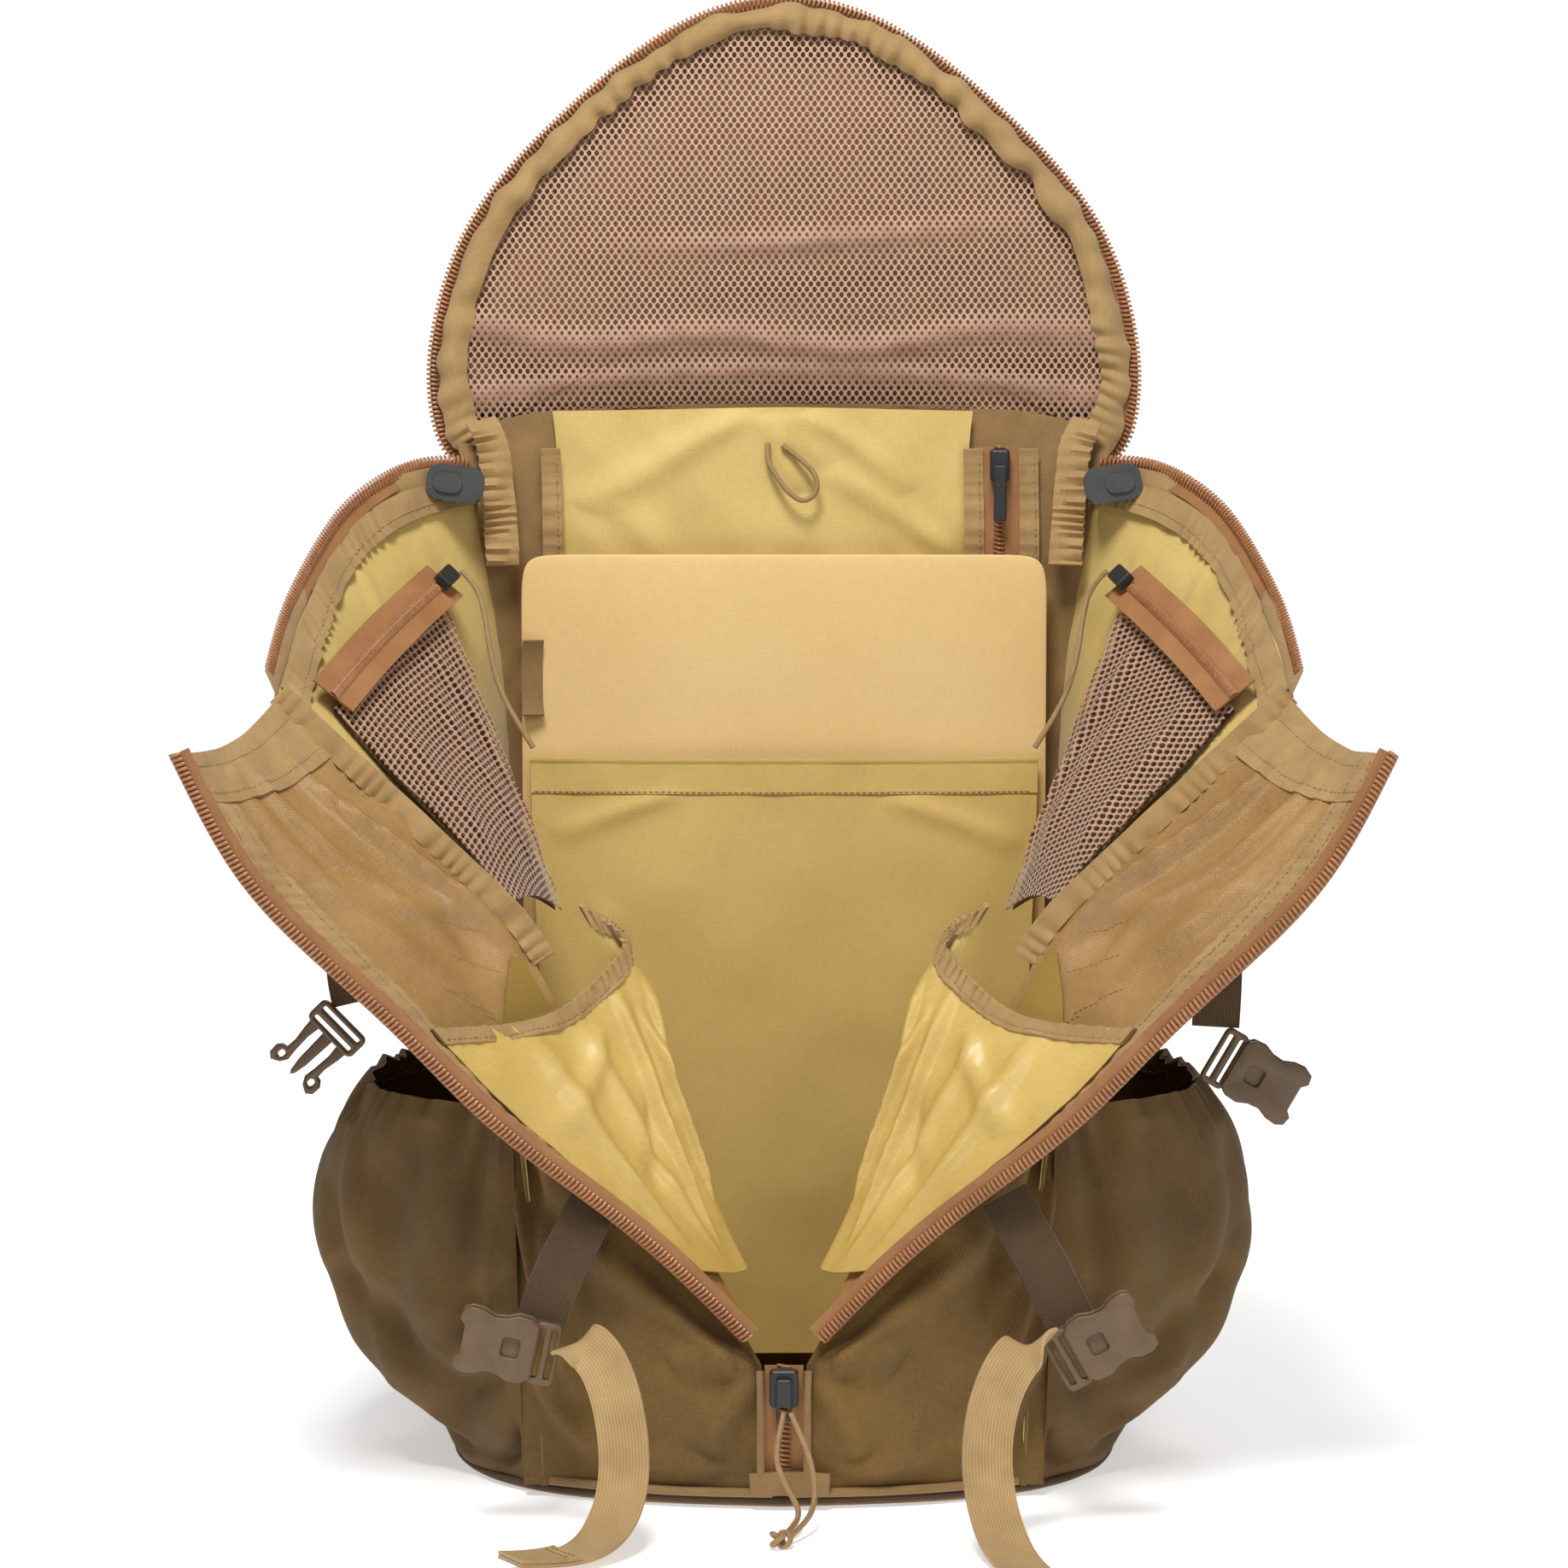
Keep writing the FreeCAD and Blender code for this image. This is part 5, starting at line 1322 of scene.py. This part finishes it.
def rounded_box(x, z, radius, steps=6):
    """A rectangle between two values each way with round corners, anticlockwise, in millimetres."""
    turn = np.linspace(0, math.pi / 2, steps)
    outline = []
    for cx, cz, start in ((x[1] - radius, z[1] - radius, 0), (x[0] + radius, z[1] - radius, 1),
                          (x[0] + radius, z[0] + radius, 2), (x[1] - radius, z[0] + radius, 3)):
        angle = turn + start * math.pi / 2
        outline += list(zip(cx + radius * np.cos(angle), cz + radius * np.sin(angle)))
    return outline


def moved_points(points, centre, degrees, flip):
    """Points turned about Y as a CAD piece is, with an optional mirror in X first, then moved to a centre."""
    turn = math.radians(degrees)
    x = -points[:, 0] if flip else points[:, 0]
    z = points[:, 2]
    return np.stack([x * math.cos(turn) + z * math.sin(turn), points[:, 1],
                     -x * math.sin(turn) + z * math.cos(turn)], -1) + np.array(centre) * 0.001


def buckle_piece(name, plates, centre, degrees, flip, body, node):
    """A buckle from moulded plates: each is a list of outlines, its depth and its offset in depth, in mm."""
    points = []
    faces = []
    count = 0
    for outlines, depth, offset in plates:
        plate, plate_faces = extruded("plate", outlines, depth * 0.001, min(1.1, depth * 0.3) * 0.001)
        points.append(plate + (0, offset * 0.001, 0))
        faces += [[corner + count for corner in face] for face in plate_faces]
        count += len(plate)
    piece = new_piece(name, moved_points(np.concatenate(points), centre, degrees, flip), [faces],
                      brown_moulding)
    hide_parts(node)
    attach(piece, body)
    return piece


web_frame = [rounded_box((-7, 7), (-16, 16), 3.5), rounded_box((1.8, 4.6), (-13, 13), 1.2)[::-1],
             rounded_box((-4.6, -1.8), (-13, 13), 1.2)[::-1]]
female_shell = [[(5, -13), (9, -16.5), (16, -17), (22, -14.5), (28, -14), (34, -16.5), (40, -17), (44, -15),
                 (45, -10), (42, -7), (42, 7), (45, 10), (44, 15), (40, 17), (34, 16.5), (28, 14),
                 (22, 14.5), (16, 17), (9, 16.5), (5, 13)], rounded_box((13, 22), (-5, 5), 2.0)[::-1]]
female_inner = [[(24, -12.4), (34, -13.2), (42, -12.5), (42, -5), (36, -4), (36, 4), (42, 5), (42, 12.5),
                 (34, 13.2), (24, 12.4)]]
female_plates = [(web_frame, 6.0, 0.0), (female_shell, 3.0, -4.0), (female_shell[:1], 3.0, 4.0),
                 ([rounded_box((4, 24), (-14.6, 14.6), 3)], 6.0, 0.0), (female_inner, 1.2, 1.9)]
prong_high = [(6, 6.5), (14, 7.5), (24, 7.0), (30, 6.2), (34, 8.5), (36.5, 13), (34, 16.0), (29, 16.3),
              (26, 14), (25.5, 11.5), (20, 11.2), (12, 12.5), (6, 13)]
male_plates = [(web_frame, 6.0, 0.0),
               ([prong_high, rounded_box((28, 32.5), (9.3, 12.7), 1.6)[::-1]], 4.8, 0.0),
               ([[(x, -z) for x, z in prong_high[::-1]],
                 rounded_box((28, 32.5), (-12.7, -9.3), 1.6)[::-1]], 4.8, 0.0),
               ([[(6, -3.4), (26, -2.6), (33, -1.4), (35, 0), (33, 1.4), (26, 2.6), (6, 3.4)]], 3.2, 0.0)]
buckle_piece("left_lower_housing", female_plates, (-121, -182, 93), 12, True, "left_lower_buckle",
             "left_lower_buckle")
buckle_piece("right_lower_housing", female_plates, (143, -182, 90), -30, False, "right_lower_buckle",
             "right_lower_buckle")
buckle_piece("left_upper_insert", male_plates, (-236, -64, 240), -44, True, "left_upper_strap",
             "left_upper_buckle")
buckle_piece("right_upper_housing", female_plates, (233, -64, 224), 30, False, "right_upper_strap",
             "right_upper_buckle")
lower_routes = {"left": [(-97, -156, 165), (-106, -163, 147), (-116, -169, 127), (-123, -173, 108)],
                "right": [(112, -155, 168), (126, -163, 144), (138, -169, 122), (145, -172.4, 107)]}
tail_routes = {
    "left": [(-109, -188, 97), (-100, -195, 100), (-90, -201, 90), (-83, -207, 70), (-80, -213, 46),
             (-83, -221, 24), (-94, -233, 9), (-112, -248, 5), (-134, -262, 8)],
    "right": [(131, -188, 99), (121, -195, 98), (110, -201, 84), (103, -207, 62), (102, -214, 38),
              (106, -225, 17), (112, -241, 6), (118, -262, 3.5), (123, -284, 2.6)]}
tail_ways = {"left": [(-0.9, 0.1, -0.42), (-0.93, 0.1, -0.3), (-0.97, 0.1, -0.1), (-1, 0.1, 0), (-1, 0.1, 0),
                      (-1, 0.2, 0), (-0.85, 0.5, 0), (-0.75, 0.65, 0), (-0.7, 0.7, 0)],
             "right": [(0.9, 0.1, 0.42), (0.93, 0.1, 0.3), (0.97, 0.1, 0.1), (1, 0.1, 0), (1, 0.1, 0),
                       (1, 0.1, 0), (1, 0.1, 0), (1, 0.15, 0), (1, 0.2, 0)]}
for side_name, side in SIDES:
    way = (0.9, 0.1 * side, 0.42 * side)
    strap(side_name + "_strap_web", lower_routes[side_name], way, "pack", finish=shaded_webbing)
    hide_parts(side_name + "_lower_strap")
    tail = strap(side_name + "_strap_tail", tail_routes[side_name], tail_ways[side_name], "pack")
    fold = tail[-44:] + grid_normals(tail)[-44:] * 0.0021
    piece = cloth_shell(side_name + "_tail_fold", fold, 0.0018, tan_webbing)
    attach(piece, "pack")
    relief = np.zeros(fold.shape[:2])
    tracks = [(fold, relief, (4, slice(None))), (fold, relief, (10, slice(None)))]
    grid_stitches(side_name + "_tail_stitches", tracks, "pack", 0.0012)
    hang = [(218, -57, 372), (222, -59, 345), (226, -61, 305), (229, -62, 275)]
    hang = hang + [(226, -62.5, 254) if side < 0 else (228, -63, 241)]
    ways = [(0.98, -0.15, 0.2 * side)] * 3 + ([(0.95, -0.1, -0.3), (0.87, 0, -0.45)] if side < 0
                                              else [(0.97, -0.1, 0.2), (0.95, 0, 0.25)])
    strap(side_name + "_upper_web", mirrored(hang, side), ways, side_name + "_upper_strap",
          finish=shaded_webbing)
    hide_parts(side_name + "_upper_strap")

# Back: stiff sheet and two alloy stays under padded cloth; a tall back pad and a lumbar pad with
# sewn channels; shoulder straps, hip wings, webbing, ladder locks and a grab handle.
def puffed(piece, voxel, pressure, cap, frames_run=20):
    """Stuffs a closed form: remeshed to even cells, blown up as cloth by a pressure from inside, and
    each point held within the cap of where it started."""
    remesh = piece.modifiers.new("even", "REMESH")
    remesh.mode = "VOXEL"
    remesh.voxel_size = voxel
    remesh.use_smooth_shade = True
    bpy.context.view_layer.objects.active = piece
    bpy.ops.object.modifier_apply(modifier="even")
    start = mesh_points(piece.data)
    cloth = piece.modifiers.new("stuffing", "CLOTH")
    cloth.settings.use_pressure = True
    cloth.settings.uniform_pressure_force = pressure
    cloth.settings.effector_weights.gravity = 0.0
    cloth.settings.quality = 6
    cloth.point_cache.frame_start = 1
    cloth.point_cache.frame_end = frames_run
    for number in range(1, frames_run + 1):
        bpy.context.scene.frame_set(number)
    shaped = piece.evaluated_get(bpy.context.evaluated_depsgraph_get())
    end = mesh_points(shaped.data)
    piece.modifiers.remove(cloth)
    bpy.context.scene.frame_set(1)
    step = end - start
    length = np.linalg.norm(step, axis=1, keepdims=True)
    moved = start + step * np.minimum(1.0, cap / np.maximum(length, 1e-9))
    piece.data.vertices.foreach_set("co", moved.ravel())
    piece.data.update()


def pressed_channels(piece, lines, depth, broad):
    """Sewn channels across a pad: its near faces sink along each height as a bell curve."""
    place = mesh_points(piece.data)
    middle = place[:, 1].mean()
    for height in lines:
        dip = np.exp(-((place[:, 2] - height) / broad) ** 2) * depth
        place[:, 1] -= np.sign(place[:, 1] - middle) * np.minimum(dip, np.abs(place[:, 1] - middle) * 0.8)
    piece.data.vertices.foreach_set("co", place.ravel())
    piece.data.update()


def object_weave(name, dark, light, rough):
    """Spacer mesh over foam: a fine regular knit on the piece's own place, with slow worn patches. Its colour
    darkens towards the edges of the knit's cells, as painted shade in the gaps.
    """
    material, start = new_finish(name)
    where = start.place()
    knit = start.add("TexVoronoi", {"feature": "DISTANCE_TO_EDGE"}, {"Vector": where, "Scale": 420.0})
    patches = start.clouds(where, 0.03, 3.0)
    # Colour: painted shade towards the knit's cell edges, plus worn patches.
    share = knit * 1.2 + patches * 0.7 - 0.15
    end_finish(start, share.clamped().blended(dark, light), rough, knit, 0.0007, 0.8,
               Sheen_Weight=0.25, Sheen_Roughness=0.5)
    return material


spacer_mesh = object_weave("spacer_mesh", (0.11, 0.060, 0.022), (0.29, 0.175, 0.075), 0.9)
back_cloth = pillow("back_cloth", 0.152, 0.006, 0.545, 0.1242, 0.1298, 6.5, tan_cloth)
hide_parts("back_panel")
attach(back_cloth, "pack")
sheet_plastic = moulded_finish("sheet_plastic", (0.015, 0.015, 0.016), (0.045, 0.045, 0.046), 0.5)
stay_alloy, stay_start = new_finish("stay_alloy")
brushed = stay_start.clouds(stay_start.place(), 0.003, 3.0, (1.0, 1.0, 0.05))
end_finish(stay_start, brushed.blended((0.45, 0.45, 0.46), (0.70, 0.70, 0.71)), brushed * 0.2 + 0.28,
           brushed, 0.0001, 0.4, Metallic=1.0)
paint_node("frame_sheet", sheet_plastic)
paint_node("frame_stays", stay_alloy)
paint_node("base_ladder_locks", brown_moulding)
back_pad = pillow("back_pad_foam", 0.124, 0.204, 0.496, 0.1366, 0.1490, 5.0, spacer_mesh)
puffed(back_pad, 0.005, 4.0, 0.0025)
pressed_channels(back_pad, (0.262, 0.350, 0.438), 0.006, 0.006)
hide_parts("back_pad")
lumbar = pillow("lumbar_foam", 0.115, 0.057, 0.163, 0.1380, 0.1580, 4.5, spacer_mesh)
puffed(lumbar, 0.005, 4.0, 0.0035)
pressed_channels(lumbar, (0.110,), 0.006, 0.005)
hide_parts("lumbar_pad")
for piece in (back_pad, lumbar):
    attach(piece, "pack")


def padded_strap(name, route, way, width, thickness, finish, rows=70):
    """A stuffed strap: a flattened oval, the fourth-power rounding of a rectangle, carried along a smooth
    line and drawn in to a point at both ends."""
    points = np.array(route, float) * 0.001
    line = spline_weights(len(points), np.linspace(0, len(points) - 1, rows)) @ points
    _, wide, out = frames(line, way)
    angle = 2 * math.pi * np.arange(40) / 40
    across = np.sign(np.cos(angle)) * np.abs(np.cos(angle)) ** 0.42 * width / 2
    depth = np.sign(np.sin(angle)) * np.abs(np.sin(angle)) ** 0.62 * thickness / 2
    t = np.linspace(-1, 1, rows)
    fill = (1.0 - np.abs(t) ** 14) ** 0.5
    section = wide[:, None] * (across[None] * fill[:, None])[..., None]
    grid = line[:, None] + section + out[:, None] * (depth[None] * fill[:, None])[..., None]
    return new_piece(name, grid, [grid_faces(rows, len(angle), True)], finish), line, wide


def edge_binding(name, line, wide, width, body):
    """Two rolled cloth edges, as thin tubes along both sides of a padded strap."""
    for label, end in (("inner", -1.0), ("outer", 1.0)):
        piece = tube(name + "_" + label, line[3:-3] + wide[3:-3] * end * (width / 2 - 0.0005), 0.0032,
                     tan_cloth, 8)
        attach(piece, body)


for side_name, side in SIDES:
    route = mirrored([(52, 163, 488), (58, 184, 502), (66, 212, 486), (76, 228, 440), (88, 228, 380),
                      (98, 216, 310), (106, 198, 250), (111, 186, 212)], side)
    body = side_name + "_shoulder_strap"
    pad, line, wide = padded_strap(side_name + "_shoulder_pad", route, (1, 0.05, 0), 0.060, 0.0115,
                                        spacer_mesh)
    puffed(pad, 0.005, 3.0, 0.0012)
    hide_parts(body)
    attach(pad, body)
    edge_binding(side_name + "_shoulder_edge", line, wide, 0.060, body)
    chest = mirrored([(64, 236.5, 402), (44, 240, 396), (22, 241, 388)], side)
    strap(side_name + "_chest_strap", chest, (0, 0, 1.0), body, 0.020)
    daisy = mirrored([(66, 222, 479), (76, 235.6, 440), (88, 235.6, 380), (98, 223.5, 312),
                      (105, 206, 262)], side)
    strap(side_name + "_daisy_web", daisy, (1, 0.05, 0), body, 0.020, 0.0015)
    load = mirrored([(113, 174, 200), (122, 158, 178), (134, 147, 150), (151, 141, 100), (169, 138, 62),
                     (177, 136, 42)], side)
    strap(side_name + "_load_web", load, (side, 0, 0.35), "pack")
    body = side_name + "_hip_wing"
    route = mirrored([(124, 158, 108), (152, 170, 106), (176, 200, 102), (184, 244, 97), (172, 290, 93),
                      (148, 320, 91)], side)
    wing, line, wide = padded_strap(side_name + "_hip_pad", route, (0, 0, 1.0), 0.090, 0.0125,
                                         spacer_mesh)
    puffed(wing, 0.005, 3.0, 0.0012)
    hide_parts(body)
    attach(wing, body)
    edge_binding(side_name + "_hip_edge", line, wide, 0.090, body)
    belt = mirrored([(142, 325, 91), (120, 340, 88), (92, 350, 84), (64, 354, 80)], side)
    strap(side_name + "_belt_web", belt, (0, 0, 1.0), body, 0.038)
    core = [rounded_box((-30, 30), (-24, 24), 9), rounded_box((-20, 2), (-4, 4), 3.5)[::-1]]
    lips = [rounded_box((-27, 27), (-21, 21), 8)]
    buckle_piece(side_name + "_belt_buckle", [(core, 6.0, 0.0), (lips, 3.0, 4.0), (lips, 3.0, -4.0)],
                 (side * 33, 354, 78), 0, side < 0, body, side_name + "_hip_buckle")
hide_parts("shoulder_webbings")
handle = [(-52, 134, 518), (-46, 142, 520), (-34, 152, 524), (0, 160, 526), (34, 152, 524),
          (46, 142, 520), (52, 134, 518)]
strap("handle_web", handle, (0, 0, 1.0), "pack", 0.022, 0.003)
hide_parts("grab_handle")
